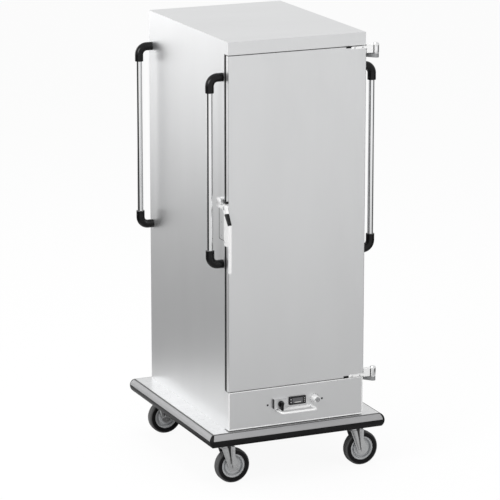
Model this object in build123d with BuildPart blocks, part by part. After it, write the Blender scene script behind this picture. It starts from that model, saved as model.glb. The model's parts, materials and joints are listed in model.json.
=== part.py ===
from build123d import *
from math import cos, radians, sin
import os

# Heated banquet trolley: an insulated steel cabinet on a castored deck with an
# all-round bumper, a hinged door, four push handles, tray runners inside and a
# pull-out heating module under the door. Millimetres, +Z up, front towards -Y.
# The origin is the middle of the overall box, on the floor.

os.makedirs("parts", exist_ok=True)

# Overall base and height
BASE_WIDTH = 810
BASE_DEPTH = 930
TOTAL_HEIGHT = 1890

# Clearances
RUNNING_FIT = 0.05
FACE_GAP = 0.3
SEAM = 0.5

# Castors
WHEEL_DIAMETER = 150
TYRE_WIDTH = 38
TYRE_SHOULDER = 9
RIM_RADIUS = 52
RIM_WIDTH = 30
HUB_WEB = 7
HUB_DISC = 24
HUB_GROOVE = 8
HUB_BOSS_RADIUS = 15
AXLE_RADIUS = 5
AXLE_HEX = 17
AXLE_HEAD = 6
CASTOR_TRAIL = 28
CASTOR_INSET_X = 105
CASTOR_INSET_Y = 90
FORK_GAP = 44
FORK_SHEET = 4
FORK_EAR_RADIUS = 24
FORK_TOP_LENGTH = 60
FORK_FRONT = 27
FORK_STRIP = 20
FORK_RIB_WIDTH = 36
FORK_RIB_PROUD = 10
FORK_RIB_EDGE = 2
FORK_TIP_WIDTH = 6
FORK_TIP_PROUD = 2
FORK_TIP_SET = 16.5
FORK_CREASE = 2.5
FORK_CREASE_WIDTH = 8
CROWN_CLEARANCE = 8
KINGPIN_RADIUS = 6
KINGPIN_HEAD_RADIUS = 11
RACE_RADIUS = 30
LOWER_RACE = 13
UPPER_RACE = 7.7
CASTOR_PLATE = 5
CASTOR_PLATE_LENGTH = 105
CASTOR_PLATE_WIDTH = 86
CASTOR_BOLT_RADIUS = 4.5
CASTOR_BOLT_X = 80
CASTOR_BOLT_Y = 60

# Base: chassis tubes, deck pan and bumper
CHASSIS_TUBE_WIDTH = 60
CHASSIS_TUBE_HEIGHT = 51
CHASSIS_TUBE_WALL = 2.5
DECK_SHEET = 2
DECK_SKIRT = 52
BUMPER_REACH = 22
BUMPER_BULGE = 14
BUMPER_HEIGHT = 54
BUMPER_STEP = 3
NOSING_HEIGHT = 22
NOSING_SLANT = 8
CORNER_SET = 9

# Cabinet
CABINET_WIDTH = 620
FRONT_LEDGE = 33
REAR_LEDGE = 36
FASCIA_DEPTH = 40
FASCIA_HEIGHT = 54
SKIN = 1.2
LINER = 1
SIDE_WALL = 36
BACK_WALL = 36
ROOF_WALL = 90
FLOOR_WALL = 42
FRAME_DEPTH = 12
PANEL_RETURN = 18

# Tray runners
RUNNER_PITCH = 112
RUNNER_FIRST = 70
RUNNER_TOP = 90
RUNNER_LENGTH = 650
RUNNER_LEDGE = 30
RUNNER_LEG = 22
RUNNER_SHEET = 1.5
RUNNER_SETBACK = 40
UPRIGHT_WIDTH = 26
UPRIGHT_DEPTH = 4
UPRIGHT_INSET = 90
UPRIGHT_SLOT_WIDTH = 10
UPRIGHT_SLOT_HEIGHT = 26

# Warm-air ports in the cavity floor
PORT_WIDTH = 360
PORT_LENGTH = 110
GRILLE_SHEET = 2
GRILLE_MARGIN = 16
GRILLE_SLOTS = 12
GRILLE_SLOT_WIDTH = 9

# Door, gasket, hinges and latch
DOOR_THICKNESS = 30
DOOR_GAP = 3
DOOR_EDGE_RADIUS = 3
GASKET_GAP = 15
GASKET_WIDTH = 22
GASKET_INSET = 5
HINGE_OFFSET = 48
HINGE_SETBACK = 9
HINGE_PIN_RADIUS = 4
HINGE_BARREL_RADIUS = 12.5
HINGE_KNUCKLE = 40
HINGE_ARM_INSET = 5
HINGE_BRACKET = 18
HINGE_STRAP_LENGTH = 70
HINGE_STRAP_HEIGHT = 10
HINGE_STRAP_PROUD = 3
HINGE_PLATE = 4
HINGE_PLATE_LENGTH = 54
HINGE_PLATE_HEIGHT = 60
TOP_HINGE_DROP = 35
BOTTOM_HINGE_DROP = 9
LATCH_HEIGHT = 1036
LATCH_PLATE = 4
LATCH_PLATE_HEIGHT = 178
LATCH_PLATE_WIDTH = 40
LATCH_PIN_RADIUS = 4
LATCH_PIVOT_DROP = 14
LATCH_PIVOT_SET = 12
LEVER_THICKNESS = 11
LEVER_HEAD_RADIUS = 17
LEVER_ARM_RISE = 60
LEVER_REACH = 38
LEVER_GRIP = 207
LEVER_GRIP_DEPTH = 11
LEVER_NOSE_LENGTH = 74
LEVER_NOSE_HEIGHT = 14
STRIKE_SHEET = 3
STRIKE_WIDTH = 46
STRIKE_HEIGHT = 136
STRIKE_HOOK_HEIGHT = 26

# Push handles
HANDLE_TUBE_RADIUS = 12.5
HANDLE_TUBE_WALL = 1.5
HANDLE_STANDOFF = 57
HANDLE_DROP = 152
HANDLE_SPAN = 785
HANDLE_FRONT_INSET = 20
HANDLE_REAR_INSET = 26
ELBOW_RADIUS = 18
ELBOW_BEND = 34
ELBOW_SOCKET = 62
ELBOW_DEPTH = 24

# Heating module
MODULE_GAP = 3
MODULE_HEIGHT = 166
MODULE_SHEET = 1.5
TRAY_WIDTH = 540
TRAY_LENGTH = 440
TRAY_FLANGE = 40
RAIL_WIDTH = 30
RAIL_GUIDE = 24
RAIL_SHEET = 3
CONTROL_ROW = 98
CONTROL_BOX_DEPTH = 78
CONTROL_BOX_WIDTH = 236
CONTROL_BOX_HEIGHT = 70
CONTROLLER_X = 4
BEZEL_WIDTH = 77
BEZEL_HEIGHT = 35
BEZEL_PROUD = 6
CONTROLLER_BODY_WIDTH = 70
CONTROLLER_BODY_HEIGHT = 28
CONTROLLER_BODY_DEPTH = 56
WINDOW_WIDTH = 48
WINDOW_HEIGHT = 23
WINDOW_SHEET = 1.6
KEY_RADIUS = 3
KEY_PROUD = 1
KEY_TRAVEL = 0.8
KEY_PITCH = 12
KEY_OFFSET = 31
SWITCH_X = -77
SWITCH_DROP = 4
SWITCH_WIDTH = 62
SWITCH_HEIGHT = 43
SWITCH_PROUD = 14
SWITCH_DISC_RADIUS = 13
SWITCH_DISC = 7
SWITCH_BAR_LENGTH = 40
SWITCH_BAR_DROP = 6.5
SWITCH_BAR_WIDTH = 11
SWITCH_BAR = 13
KNOB_X = 85
KNOB_LIFT = -1
KNOB_RADIUS = 15
KNOB_LENGTH = 28
SHAFT_RADIUS = 3
SHAFT_LENGTH = 12
PULL_X = -9
PULL_DROP = 33
PULL_WIDTH = 160
PULL_REACH = 60
PULL_BAR_RADIUS = 5
PULL_BEND = 13
FAN_Y = 150
FAN_RADIUS = 90
FAN_BLADES = 10
FAN_BLADE_HEIGHT = 40
FAN_BLADE_SHEET = 2
FAN_HUB_RADIUS = 18
FAN_SHAFT_RADIUS = 5
MOTOR_RADIUS = 42
MOTOR_HEIGHT = 62
HEATER_Y = 320
HEATER_TUBE_RADIUS = 4.5
HEATER_LENGTH = 400
HEATER_PITCH = 36
HEATER_PASSES = 4
HEATER_RISE = 62
HEATER_BRACKET_SPACING = 260
HEATER_BRACKET_SHEET = 2

# Mains cable gland in the back panel
GLAND_X = 210
GLAND_RISE = 60
GLAND_BORE_RADIUS = 5.5
GLAND_THREAD_RADIUS = 10
GLAND_NUT = 24
GLAND_OUTSIDE = 24
GLAND_INSIDE = 12

# Levels
axle_height = WHEEL_DIAMETER / 2
crown_low = WHEEL_DIAMETER + CROWN_CLEARANCE
crown_high = crown_low + FORK_SHEET
race_split = crown_high + LOWER_RACE
castor_plate_low = race_split + FACE_GAP + UPPER_RACE
castor_top = castor_plate_low + CASTOR_PLATE
deck_low = castor_top + CHASSIS_TUBE_HEIGHT
deck_top = deck_low + DECK_SHEET
module_low = deck_top + MODULE_GAP
module_top = module_low + MODULE_HEIGHT
control_level = module_low + CONTROL_ROW
switch_level = control_level - SWITCH_DROP
knob_level = control_level + KNOB_LIFT
door_low = module_top + DOOR_GAP
fascia_low = TOTAL_HEIGHT - FASCIA_HEIGHT
door_top = fascia_low - DOOR_GAP
cavity_floor = module_top + FLOOR_WALL
cavity_ceiling = TOTAL_HEIGHT - ROOF_WALL
handle_high = TOTAL_HEIGHT - HANDLE_DROP
handle_low = handle_high - HANDLE_SPAN

# Depths, from the front of the overall box to the back
front_excess = max(PULL_REACH - FRONT_LEDGE, 0)
deck_front = front_excess - (BASE_DEPTH + front_excess) / 2
deck_rear = deck_front + BASE_DEPTH
deck_middle = (deck_front + deck_rear) / 2
fascia_front = deck_front + FRONT_LEDGE
body_front = fascia_front + FASCIA_DEPTH
body_rear = deck_rear - REAR_LEDGE
door_rear = body_front - GASKET_GAP
door_front = door_rear - DOOR_THICKNESS
cavity_rear = body_rear - BACK_WALL

# Widths
half_width = CABINET_WIDTH / 2
cavity_half = half_width - SIDE_WALL
pan_half_x = BASE_WIDTH / 2 - BUMPER_REACH
pan_half_y = BASE_DEPTH / 2 - BUMPER_REACH
castor_x = BASE_WIDTH / 2 - CASTOR_INSET_X
castor_y = BASE_DEPTH / 2 - CASTOR_INSET_Y


def block(low, high, mode=Mode.ADD):
    """Add or cut a box between two opposite corners of the part being built."""
    with Locations(tuple((a + b) / 2 for a, b in zip(low, high))):
        Box(*[b - a for a, b in zip(low, high)], mode=mode)


# Castors: each has a fixed top plate with its kingpin, a pressed fork that
# swivels on the kingpin, and a wheel of a moulded hub and a rubber tyre.
castors = {}
for end, end_sign in (("front", -1), ("rear", 1)):
    for side, side_sign in (("left", -1), ("right", 1)):
        castors[f"{end}_{side}"] = (side_sign * castor_x, deck_middle + end_sign * castor_y)

with BuildPart() as castor_plates:
    for castor in castors.values():
        with BuildSketch(Plane.XY.offset(castor_plate_low)):
            with Locations(castor):
                RectangleRounded(CASTOR_PLATE_LENGTH, CASTOR_PLATE_WIDTH, CASTOR_BOLT_RADIUS * 2)
                with GridLocations(CASTOR_BOLT_X, CASTOR_BOLT_Y, 2, 2):
                    Circle(CASTOR_BOLT_RADIUS, mode=Mode.SUBTRACT)
        extrude(amount=CASTOR_PLATE)
        with BuildSketch(Plane.XY.offset(castor_plate_low)):
            with Locations(castor):
                Circle(RACE_RADIUS - FORK_SHEET)
        extrude(amount=-UPPER_RACE, taper=-12)
        with BuildSketch(Plane.XY.offset(castor_plate_low)):
            with Locations(castor):
                Circle(KINGPIN_RADIUS)
        extrude(amount=crown_low - FACE_GAP - castor_plate_low)
        with BuildSketch(Plane.XY.offset(crown_low - FACE_GAP)):
            with Locations(castor):
                Circle(KINGPIN_HEAD_RADIUS)
        extrude(amount=-(CROWN_CLEARANCE - FACE_GAP) / 2)
castor_plates.part.label = "castor_plates"
export_step(castor_plates.part, "parts/castor_plates.step")

fork_outer = FORK_GAP / 2 + FORK_SHEET
leg_middle = FORK_TOP_LENGTH / 2 - FORK_FRONT
rib_radius = ((FORK_RIB_WIDTH / 2) ** 2 + FORK_RIB_PROUD**2) / (2 * FORK_RIB_PROUD)
tip_radius = ((FORK_TIP_WIDTH / 2) ** 2 + FORK_TIP_PROUD**2) / (2 * FORK_TIP_PROUD)
tip_level = axle_height - FORK_SHEET
crease_high = crown_low - FORK_SHEET
for name, (x, y) in castors.items():
    swivel = Plane(origin=(x, y, 0))
    axle = (x + CASTOR_TRAIL, axle_height)
    leg_left = x - FORK_FRONT
    rib_x = leg_left + FORK_RIB_EDGE + FORK_RIB_WIDTH / 2
    rib_end = rib_x + FORK_RIB_WIDTH / 2 + FORK_RIB_EDGE
    strip_x = leg_left + FORK_TOP_LENGTH - FORK_STRIP / 2
    tip_x = axle[0] - FORK_TIP_SET
    tip_end = tip_x + FORK_TIP_WIDTH / 2 + FORK_RIB_EDGE / 2
    with BuildPart() as castor_fork:
        # Crown with its rounded nose, and the lower race cup on top of it
        with BuildSketch(swivel.offset(crown_low)):
            with Locations((leg_middle, 0)):
                Rectangle(FORK_TOP_LENGTH, 2 * fork_outer)
            Circle(RACE_RADIUS)
        extrude(amount=FORK_SHEET)
        with BuildSketch(swivel.offset(crown_high)):
            Circle(RACE_RADIUS)
        extrude(amount=LOWER_RACE, taper=6)
        # Two legs down to round ears at the axle. The front of each leg is drawn into a
        # half-round rib that tapers to a tip at the ear, with a crease pressed behind it.
        for hand in (-1, 1):
            leg_face = y + hand * fork_outer
            with BuildSketch(Plane.XZ.offset(-y - hand * FORK_GAP / 2)):
                with Locations(axle):
                    Circle(FORK_EAR_RADIUS)
                with Locations((rib_x, crown_high - FORK_SHEET / 2)):
                    Rectangle(FORK_RIB_WIDTH + 2 * FORK_RIB_EDGE, FORK_SHEET)
                make_hull()
                with Locations((strip_x, (axle_height + crown_high) / 2)):
                    Rectangle(FORK_STRIP, crown_high - axle_height)
            extrude(amount=-hand * FORK_SHEET)
            with BuildPart(mode=Mode.PRIVATE) as rib:
                top = Vector(rib_x, leg_face - hand * (rib_radius - FORK_RIB_PROUD), crown_high)
                tip = Vector(tip_x, leg_face - hand * (tip_radius - FORK_TIP_PROUD), tip_level)
                start = top + (top - tip) / 4
                with Locations(Plane(origin=start, z_dir=tip - top)):
                    Cone(
                        rib_radius + (rib_radius - tip_radius) / 4,
                        tip_radius,
                        (tip - start).length,
                        align=(Align.CENTER, Align.CENTER, Align.MIN),
                    )
                with Locations((rib_x, leg_face + hand * (rib_radius - SEAM), crown_high)):
                    Box(
                        4 * rib_radius,
                        2 * rib_radius,
                        2 * crown_high,
                        align=(Align.CENTER, Align.CENTER, Align.MAX),
                        mode=Mode.INTERSECT,
                    )
            add(rib.part)
            with BuildSketch(Plane.XZ.offset(-leg_face)):
                with BuildLine():
                    Polyline(
                        (rib_end, crease_high),
                        (rib_end + FORK_CREASE_WIDTH, crease_high),
                        (tip_end + FORK_RIB_EDGE, tip_level),
                        (tip_end, tip_level),
                        close=True,
                    )
                make_face()
            extrude(amount=hand * FORK_CREASE, mode=Mode.SUBTRACT)
        with BuildSketch(swivel.offset(crown_low)):
            Circle(KINGPIN_RADIUS + RUNNING_FIT)
        extrude(amount=FORK_SHEET + LOWER_RACE, mode=Mode.SUBTRACT)
        with BuildSketch(Plane.XZ.offset(-y)):
            with Locations(axle):
                Circle(AXLE_RADIUS + RUNNING_FIT)
        extrude(amount=fork_outer, both=True, mode=Mode.SUBTRACT)
        # Axle bolt: a shank across the fork with a hexagon at each end
        with BuildSketch(Plane.XZ.offset(-y)):
            with Locations(axle):
                Circle(AXLE_RADIUS)
        extrude(amount=fork_outer + RUNNING_FIT, both=True)
        for hand in (-1, 1):
            with BuildSketch(Plane.XZ.offset(-y - hand * (fork_outer + RUNNING_FIT))):
                with Locations(axle):
                    RegularPolygon(AXLE_HEX / 2, 6, major_radius=False)
            extrude(amount=-hand * AXLE_HEAD)
    castor_fork.part.label = f"castor_fork_{name}"
    export_step(castor_fork.part, f"parts/castor_fork_{name}.step")

    wheel_plane = Plane(origin=(axle[0], y, axle_height))
    wheel_axis = Axis((axle[0], y, axle_height), (0, 1, 0))
    boss = FORK_GAP / 2 - FACE_GAP
    rim_lip = RIM_RADIUS - TYRE_SHOULDER
    with BuildPart() as wheel_hub:
        with BuildSketch(wheel_plane):
            with BuildLine():
                Polyline(
                    (AXLE_RADIUS + RUNNING_FIT, -boss),
                    (HUB_BOSS_RADIUS, -boss),
                    (HUB_BOSS_RADIUS + FORK_SHEET, -HUB_DISC / 2),
                    (rim_lip - HUB_GROOVE, -HUB_DISC / 2),
                    (rim_lip - HUB_GROOVE, -HUB_WEB / 2),
                    (rim_lip, -HUB_WEB / 2),
                    (rim_lip + HUB_GROOVE / 4, -RIM_WIDTH / 2),
                    (RIM_RADIUS, -RIM_WIDTH / 2),
                    (RIM_RADIUS, RIM_WIDTH / 2),
                    (rim_lip + HUB_GROOVE / 4, RIM_WIDTH / 2),
                    (rim_lip, HUB_WEB / 2),
                    (rim_lip - HUB_GROOVE, HUB_WEB / 2),
                    (rim_lip - HUB_GROOVE, HUB_DISC / 2),
                    (HUB_BOSS_RADIUS + FORK_SHEET, HUB_DISC / 2),
                    (HUB_BOSS_RADIUS, boss),
                    (AXLE_RADIUS + RUNNING_FIT, boss),
                    close=True,
                )
            make_face()
        revolve(axis=wheel_axis)
    wheel_hub.part.label = f"wheel_hub_{name}"
    export_step(wheel_hub.part, f"parts/wheel_hub_{name}.step")

    with BuildPart() as tyre:
        with BuildSketch(wheel_plane) as tyre_section:
            with Locations(((RIM_RADIUS + WHEEL_DIAMETER / 2) / 2, 0)):
                Rectangle(WHEEL_DIAMETER / 2 - RIM_RADIUS, TYRE_WIDTH)
            fillet(tyre_section.vertices().group_by(Axis.X)[-1], TYRE_SHOULDER)
        revolve(axis=wheel_axis)
    tyre.part.label = f"tyre_{name}"
    export_step(tyre.part, f"parts/tyre_{name}.step")

# Chassis: two rails over the castors and three cross tubes between them
with BuildPart() as chassis_frame:
    rail_half = pan_half_y - DECK_SHEET - SEAM
    tube_middle = castor_top + CHASSIS_TUBE_HEIGHT / 2
    inner_width = CHASSIS_TUBE_WIDTH - 2 * CHASSIS_TUBE_WALL
    inner_height = CHASSIS_TUBE_HEIGHT - 2 * CHASSIS_TUBE_WALL
    with BuildSketch(Plane.XZ.offset(-deck_middle)):
        for side_sign in (-1, 1):
            with Locations((side_sign * castor_x, tube_middle)):
                Rectangle(CHASSIS_TUBE_WIDTH, CHASSIS_TUBE_HEIGHT)
                Rectangle(inner_width, inner_height, mode=Mode.SUBTRACT)
    extrude(amount=rail_half, both=True)
    cross_half = castor_x - CHASSIS_TUBE_WIDTH / 2 - FACE_GAP
    with BuildSketch(Plane.YZ):
        for y in (deck_middle - castor_y, deck_middle, deck_middle + castor_y):
            with Locations((y, tube_middle)):
                Rectangle(CHASSIS_TUBE_WIDTH, CHASSIS_TUBE_HEIGHT)
                Rectangle(inner_width, inner_height, mode=Mode.SUBTRACT)
    extrude(amount=cross_half, both=True)
chassis_frame.part.label = "chassis_frame"
export_step(chassis_frame.part, "parts/chassis_frame.step")

# Deck: a steel pan, open underneath, whose skirt carries the bumper
with BuildPart() as deck_plate:
    with BuildSketch(Plane.XY.offset(deck_top)):
        with Locations((0, deck_middle)):
            Rectangle(2 * pan_half_x, 2 * pan_half_y)
    extrude(amount=-DECK_SKIRT)
    offset(amount=-DECK_SHEET, openings=deck_plate.faces().sort_by(Axis.Z)[0])
deck_plate.part.label = "deck_plate"
export_step(deck_plate.part, "parts/deck_plate.step")

# Bumper: a D section round the deck, a step below its top. Each straight run is black
# with a pale nosing let into its upper half, and black moulded pieces turn the corners.
bumper_top = deck_top - BUMPER_STEP
bumper_low = bumper_top - BUMPER_HEIGHT
nosing_low = bumper_top - NOSING_HEIGHT
bumper_sides = (
    ((1, 0), 2 * pan_half_y, pan_half_x),
    ((-1, 0), 2 * pan_half_y, pan_half_x),
    ((0, -1), 2 * pan_half_x, pan_half_y),
    ((0, 1), 2 * pan_half_x, pan_half_y),
)
bumper_flat = BUMPER_REACH - BUMPER_BULGE
bumper_middle = (bumper_low + bumper_top) / 2
with BuildSketch() as bumper_section:
    with BuildLine():
        Polyline(
            (bumper_flat, bumper_top),
            (0, bumper_top),
            (0, bumper_low),
            (bumper_flat, bumper_low),
        )
        ThreePointArc(
            (bumper_flat, bumper_low),
            (BUMPER_REACH, bumper_middle),
            (bumper_flat, bumper_top),
        )
    make_face()
with BuildSketch() as corner_section:
    add(bumper_section.sketch)
    with Locations(((CORNER_SET + BUMPER_REACH) / 2, bumper_middle)):
        Rectangle(BUMPER_REACH - CORNER_SET, BUMPER_HEIGHT, mode=Mode.INTERSECT)


def bumper_plane(outward, along, distance):
    """Plane across a bumper side, at a distance along it from its middle."""
    out_x, out_y = outward
    middle = Vector(out_x * distance, out_y * distance + deck_middle, 0)
    return Plane(
        origin=middle + Vector(out_y, -out_x, 0) * along,
        x_dir=(out_x, out_y, 0),
        z_dir=(out_y, -out_x, 0),
    )


def nosing_plan(outward, length, distance):
    """Corners, seen from above, of the nosing on a bumper side; its ends are slanted."""
    out_x, out_y = outward
    half = length / 2 + CORNER_SET - SEAM
    corners = []
    for reach, hand in ((-SEAM, -1), (-SEAM, 1), (BUMPER_REACH + SEAM, 1), (BUMPER_REACH + SEAM, -1)):
        along = hand * (half - NOSING_SLANT * (BUMPER_REACH - reach) / BUMPER_BULGE)
        corner_x = out_x * (distance + reach) + out_y * along
        corner_y = out_y * (distance + reach) - out_x * along + deck_middle
        corners.append((corner_x, corner_y))
    return corners


with BuildPart() as bumper_nosing:
    for outward, length, distance in bumper_sides:
        run = length + 2 * CORNER_SET - 2 * SEAM
        with BuildPart(mode=Mode.PRIVATE) as nosing_run:
            with BuildSketch(bumper_plane(outward, -run / 2, distance)):
                add(bumper_section.sketch)
            extrude(amount=run)
            with BuildSketch(Plane.XY.offset(nosing_low)):
                with BuildLine():
                    Polyline(*nosing_plan(outward, length, distance), close=True)
                make_face()
            extrude(amount=BUMPER_HEIGHT, mode=Mode.INTERSECT)
        add(nosing_run.part)
bumper_nosing.part.label = "bumper_nosing"
export_step(bumper_nosing.part, "parts/bumper_nosing.step")

post_x = pan_half_x + (CORNER_SET - SEAM) / 2
post_y = pan_half_y + (CORNER_SET - SEAM) / 2
post_size = CORNER_SET + SEAM
with BuildPart() as bumper_rubber:
    for outward, length, distance in bumper_sides:
        run = length + 2 * CORNER_SET - 2 * SEAM
        with BuildSketch(bumper_plane(outward, -run / 2, distance)):
            add(bumper_section.sketch)
        extrude(amount=run)
        if outward == (-1, 0):
            with Locations((0, deck_middle, bumper_middle)):
                with GridLocations(2 * post_x, 2 * post_y, 2, 2):
                    Box(post_size, post_size, BUMPER_HEIGHT, mode=Mode.SUBTRACT)
    for outward, length, distance in bumper_sides:
        with BuildSketch(Plane.XY.offset(nosing_low)):
            with BuildLine():
                Polyline(*nosing_plan(outward, length, distance), close=True)
            make_face()
        extrude(amount=BUMPER_HEIGHT, mode=Mode.SUBTRACT)
    for outward, length, distance in bumper_sides:
        corner = bumper_plane(outward, -length / 2 - CORNER_SET, distance)
        with BuildSketch(corner):
            add(corner_section.sketch)
        turn_point = corner.origin + Vector(*outward) * CORNER_SET
        revolve(axis=Axis(turn_point, (0, 0, 1)), revolution_arc=90)
bumper_rubber.part.label = "bumper_rubber"
export_step(bumper_rubber.part, "parts/bumper_rubber.step")

# Outer sheet panels of the cabinet: two sides, the back, and a roof whose front
# folds down into the fascia over the door.
for side, side_sign in (("left", -1), ("right", 1)):
    with BuildPart() as side_panel:
        with BuildSketch(Plane.YZ.offset(side_sign * half_width)):
            with BuildLine():
                Polyline(
                    (body_front, deck_top),
                    (body_rear, deck_top),
                    (body_rear, TOTAL_HEIGHT),
                    (fascia_front, TOTAL_HEIGHT),
                    (fascia_front, fascia_low),
                    (body_front, fascia_low),
                    close=True,
                )
            make_face()
        extrude(amount=-side_sign * SKIN)
        with BuildSketch(Plane.XY.offset(deck_top)):
            with Locations((side_sign * (half_width - PANEL_RETURN / 2), body_front + SKIN / 2)):
                Rectangle(PANEL_RETURN, SKIN)
        extrude(amount=module_top - deck_top)
    side_panel.part.label = f"side_panel_{side}"
    export_step(side_panel.part, f"parts/side_panel_{side}.step")

skin_half = half_width - SKIN
roof_low = TOTAL_HEIGHT - SKIN
with BuildPart() as roof_panel:
    with BuildSketch(Plane.YZ):
        with BuildLine():
            Polyline(
                (body_front, fascia_low),
                (fascia_front, fascia_low),
                (fascia_front, TOTAL_HEIGHT),
                (body_rear, TOTAL_HEIGHT),
                (body_rear, roof_low),
                (fascia_front + SKIN, roof_low),
                (fascia_front + SKIN, fascia_low + SKIN),
                (body_front, fascia_low + SKIN),
                close=True,
            )
        make_face()
    extrude(amount=skin_half, both=True)
roof_panel.part.label = "roof_panel"
export_step(roof_panel.part, "parts/roof_panel.step")

gland_point = (GLAND_X, deck_top + GLAND_RISE)
with BuildPart() as back_panel:
    block((-skin_half, body_rear - SKIN, deck_top), (skin_half, body_rear, roof_low))
    with BuildSketch(Plane.XZ.offset(-body_rear)):
        with Locations(gland_point):
            Circle(GLAND_THREAD_RADIUS + FACE_GAP)
    extrude(amount=SKIN, mode=Mode.SUBTRACT)
back_panel.part.label = "back_panel"
export_step(back_panel.part, "parts/back_panel.step")

# Front frame: four channels round the mouth of the cavity, where the gasket seals
liner_half = cavity_half + LINER
liner_low = cavity_floor - LINER
liner_top = cavity_ceiling + LINER
frame_rear = body_front + FRAME_DEPTH
with BuildPart() as front_frame:
    for side_sign in (-1, 1):
        with BuildSketch(Plane.XY.offset(module_top)):
            with Locations((side_sign * (liner_half + skin_half) / 2, body_front + FRAME_DEPTH / 2)):
                Rectangle(skin_half - liner_half, FRAME_DEPTH)
        extrude(amount=roof_low - module_top)
    for low, high in ((module_top, liner_low), (liner_top, roof_low)):
        block((-liner_half + SEAM, body_front, low), (liner_half - SEAM, frame_rear, high))
front_frame.part.label = "front_frame"
export_step(front_frame.part, "parts/front_frame.step")

# Insulation: slabs between the outer skin and the liner. The floor is in three
# strips, so that the gaps between them are the two warm-air ports.
fan_y = body_front + FAN_Y
heater_y = body_front + HEATER_Y
ports = (fan_y, heater_y)
liner_rear = cavity_rear + LINER
skin_rear = body_rear - SKIN
floor_cuts = [frame_rear]
for port in ports:
    floor_cuts += [port - PORT_LENGTH / 2, port + PORT_LENGTH / 2]
floor_cuts.append(liner_rear)
with BuildPart() as insulation:
    for side_sign in (-1, 1):
        inner, outer = sorted((side_sign * liner_half, side_sign * skin_half))
        block((inner, frame_rear, module_top), (outer, liner_rear, roof_low))
    block((-skin_half, liner_rear + SEAM, module_top), (skin_half, skin_rear, roof_low))
    block((-liner_half + SEAM, frame_rear, liner_top), (liner_half - SEAM, liner_rear, roof_low))
    for start, stop in zip(floor_cuts[0::2], floor_cuts[1::2]):
        block((-liner_half + SEAM, start, module_top), (liner_half - SEAM, stop, liner_low))
insulation.part.label = "insulation"
export_step(insulation.part, "parts/insulation.step")

# Cavity liner: a steel box open at the front, with the two ports in its floor
with BuildPart() as cavity_liner:
    block((-liner_half, body_front, liner_low), (liner_half, liner_rear, liner_top))
    block(
        (-cavity_half, body_front, cavity_floor),
        (cavity_half, cavity_rear, cavity_ceiling),
        Mode.SUBTRACT,
    )
    for port in ports:
        block(
            (-PORT_WIDTH / 2, port - PORT_LENGTH / 2, liner_low),
            (PORT_WIDTH / 2, port + PORT_LENGTH / 2, cavity_floor),
            Mode.SUBTRACT,
        )
cavity_liner.part.label = "cavity_liner"
export_step(cavity_liner.part, "parts/cavity_liner.step")

# Floor grille: one slotted plate over both ports
slot_pitch = PORT_WIDTH / GRILLE_SLOTS
with BuildPart() as floor_grille:
    with BuildSketch(Plane.XY.offset(cavity_floor)):
        with Locations((0, sum(ports) / 2)):
            RectangleRounded(
                PORT_WIDTH + 2 * GRILLE_MARGIN,
                heater_y - fan_y + PORT_LENGTH + 2 * GRILLE_MARGIN,
                GRILLE_MARGIN / 2,
            )
        for port in ports:
            with Locations((0, port)):
                with GridLocations(slot_pitch, 0, GRILLE_SLOTS, 1):
                    SlotOverall(
                        PORT_LENGTH - GRILLE_MARGIN,
                        GRILLE_SLOT_WIDTH,
                        rotation=90,
                        mode=Mode.SUBTRACT,
                    )
    extrude(amount=GRILLE_SHEET)
floor_grille.part.label = "floor_grille"
export_step(floor_grille.part, "parts/floor_grille.step")

# Tray rack: slotted uprights on the side walls and folded angle runners on them
runner_front = body_front + RUNNER_SETBACK
runner_rear = runner_front + RUNNER_LENGTH
runner_room = cavity_ceiling - cavity_floor - RUNNER_FIRST - RUNNER_TOP
runner_count = int(runner_room // RUNNER_PITCH) + 1
runner_levels = [cavity_floor + RUNNER_FIRST + RUNNER_PITCH * i for i in range(runner_count)]
upright_face = cavity_half - UPRIGHT_DEPTH
upright_top = runner_levels[-1] + RUNNER_LEG
with BuildPart() as rack_uprights:
    for side_sign in (-1, 1):
        wall = Plane.YZ.offset(side_sign * cavity_half)
        for y in (runner_front + UPRIGHT_INSET, runner_rear - UPRIGHT_INSET):
            with BuildSketch(wall):
                with Locations((y, (cavity_floor + upright_top) / 2)):
                    Rectangle(UPRIGHT_WIDTH, upright_top - cavity_floor)
                for level in runner_levels:
                    with Locations((y, level + RUNNER_LEG - RUNNER_PITCH / 2)):
                        Rectangle(UPRIGHT_SLOT_WIDTH, UPRIGHT_SLOT_HEIGHT, mode=Mode.SUBTRACT)
            extrude(amount=-side_sign * UPRIGHT_DEPTH)
rack_uprights.part.label = "rack_uprights"
export_step(rack_uprights.part, "parts/rack_uprights.step")

for side, side_sign in (("left", -1), ("right", 1)):
    with BuildPart() as runners:
        with BuildSketch(Plane.XZ.offset(-runner_front)):
            for level in runner_levels:
                with BuildLine():
                    Polyline(
                        (side_sign * upright_face, level),
                        (side_sign * (upright_face - RUNNER_LEDGE), level),
                        (side_sign * (upright_face - RUNNER_LEDGE), level - RUNNER_SHEET),
                        (side_sign * (upright_face - RUNNER_SHEET), level - RUNNER_SHEET),
                        (side_sign * (upright_face - RUNNER_SHEET), level - RUNNER_LEG),
                        (side_sign * upright_face, level - RUNNER_LEG),
                        close=True,
                    )
                make_face()
        extrude(amount=-RUNNER_LENGTH)
    runners.part.label = f"runners_{side}"
    export_step(runners.part, f"parts/runners_{side}.step")

# Door: a folded outer pan, its foam core, an inner sheet and the gasket
with BuildPart() as door_skin:
    with BuildSketch(Plane.XZ.offset(-door_front)):
        with Locations((0, (door_low + door_top) / 2)):
            Rectangle(CABINET_WIDTH, door_top - door_low)
    extrude(amount=-DOOR_THICKNESS)
    fillet(door_skin.faces().sort_by(Axis.Y)[0].edges(), DOOR_EDGE_RADIUS)
    offset(amount=-SKIN, openings=door_skin.faces().sort_by(Axis.Y)[-1])
door_skin.part.label = "door_skin"
export_step(door_skin.part, "parts/door_skin.step")

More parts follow.
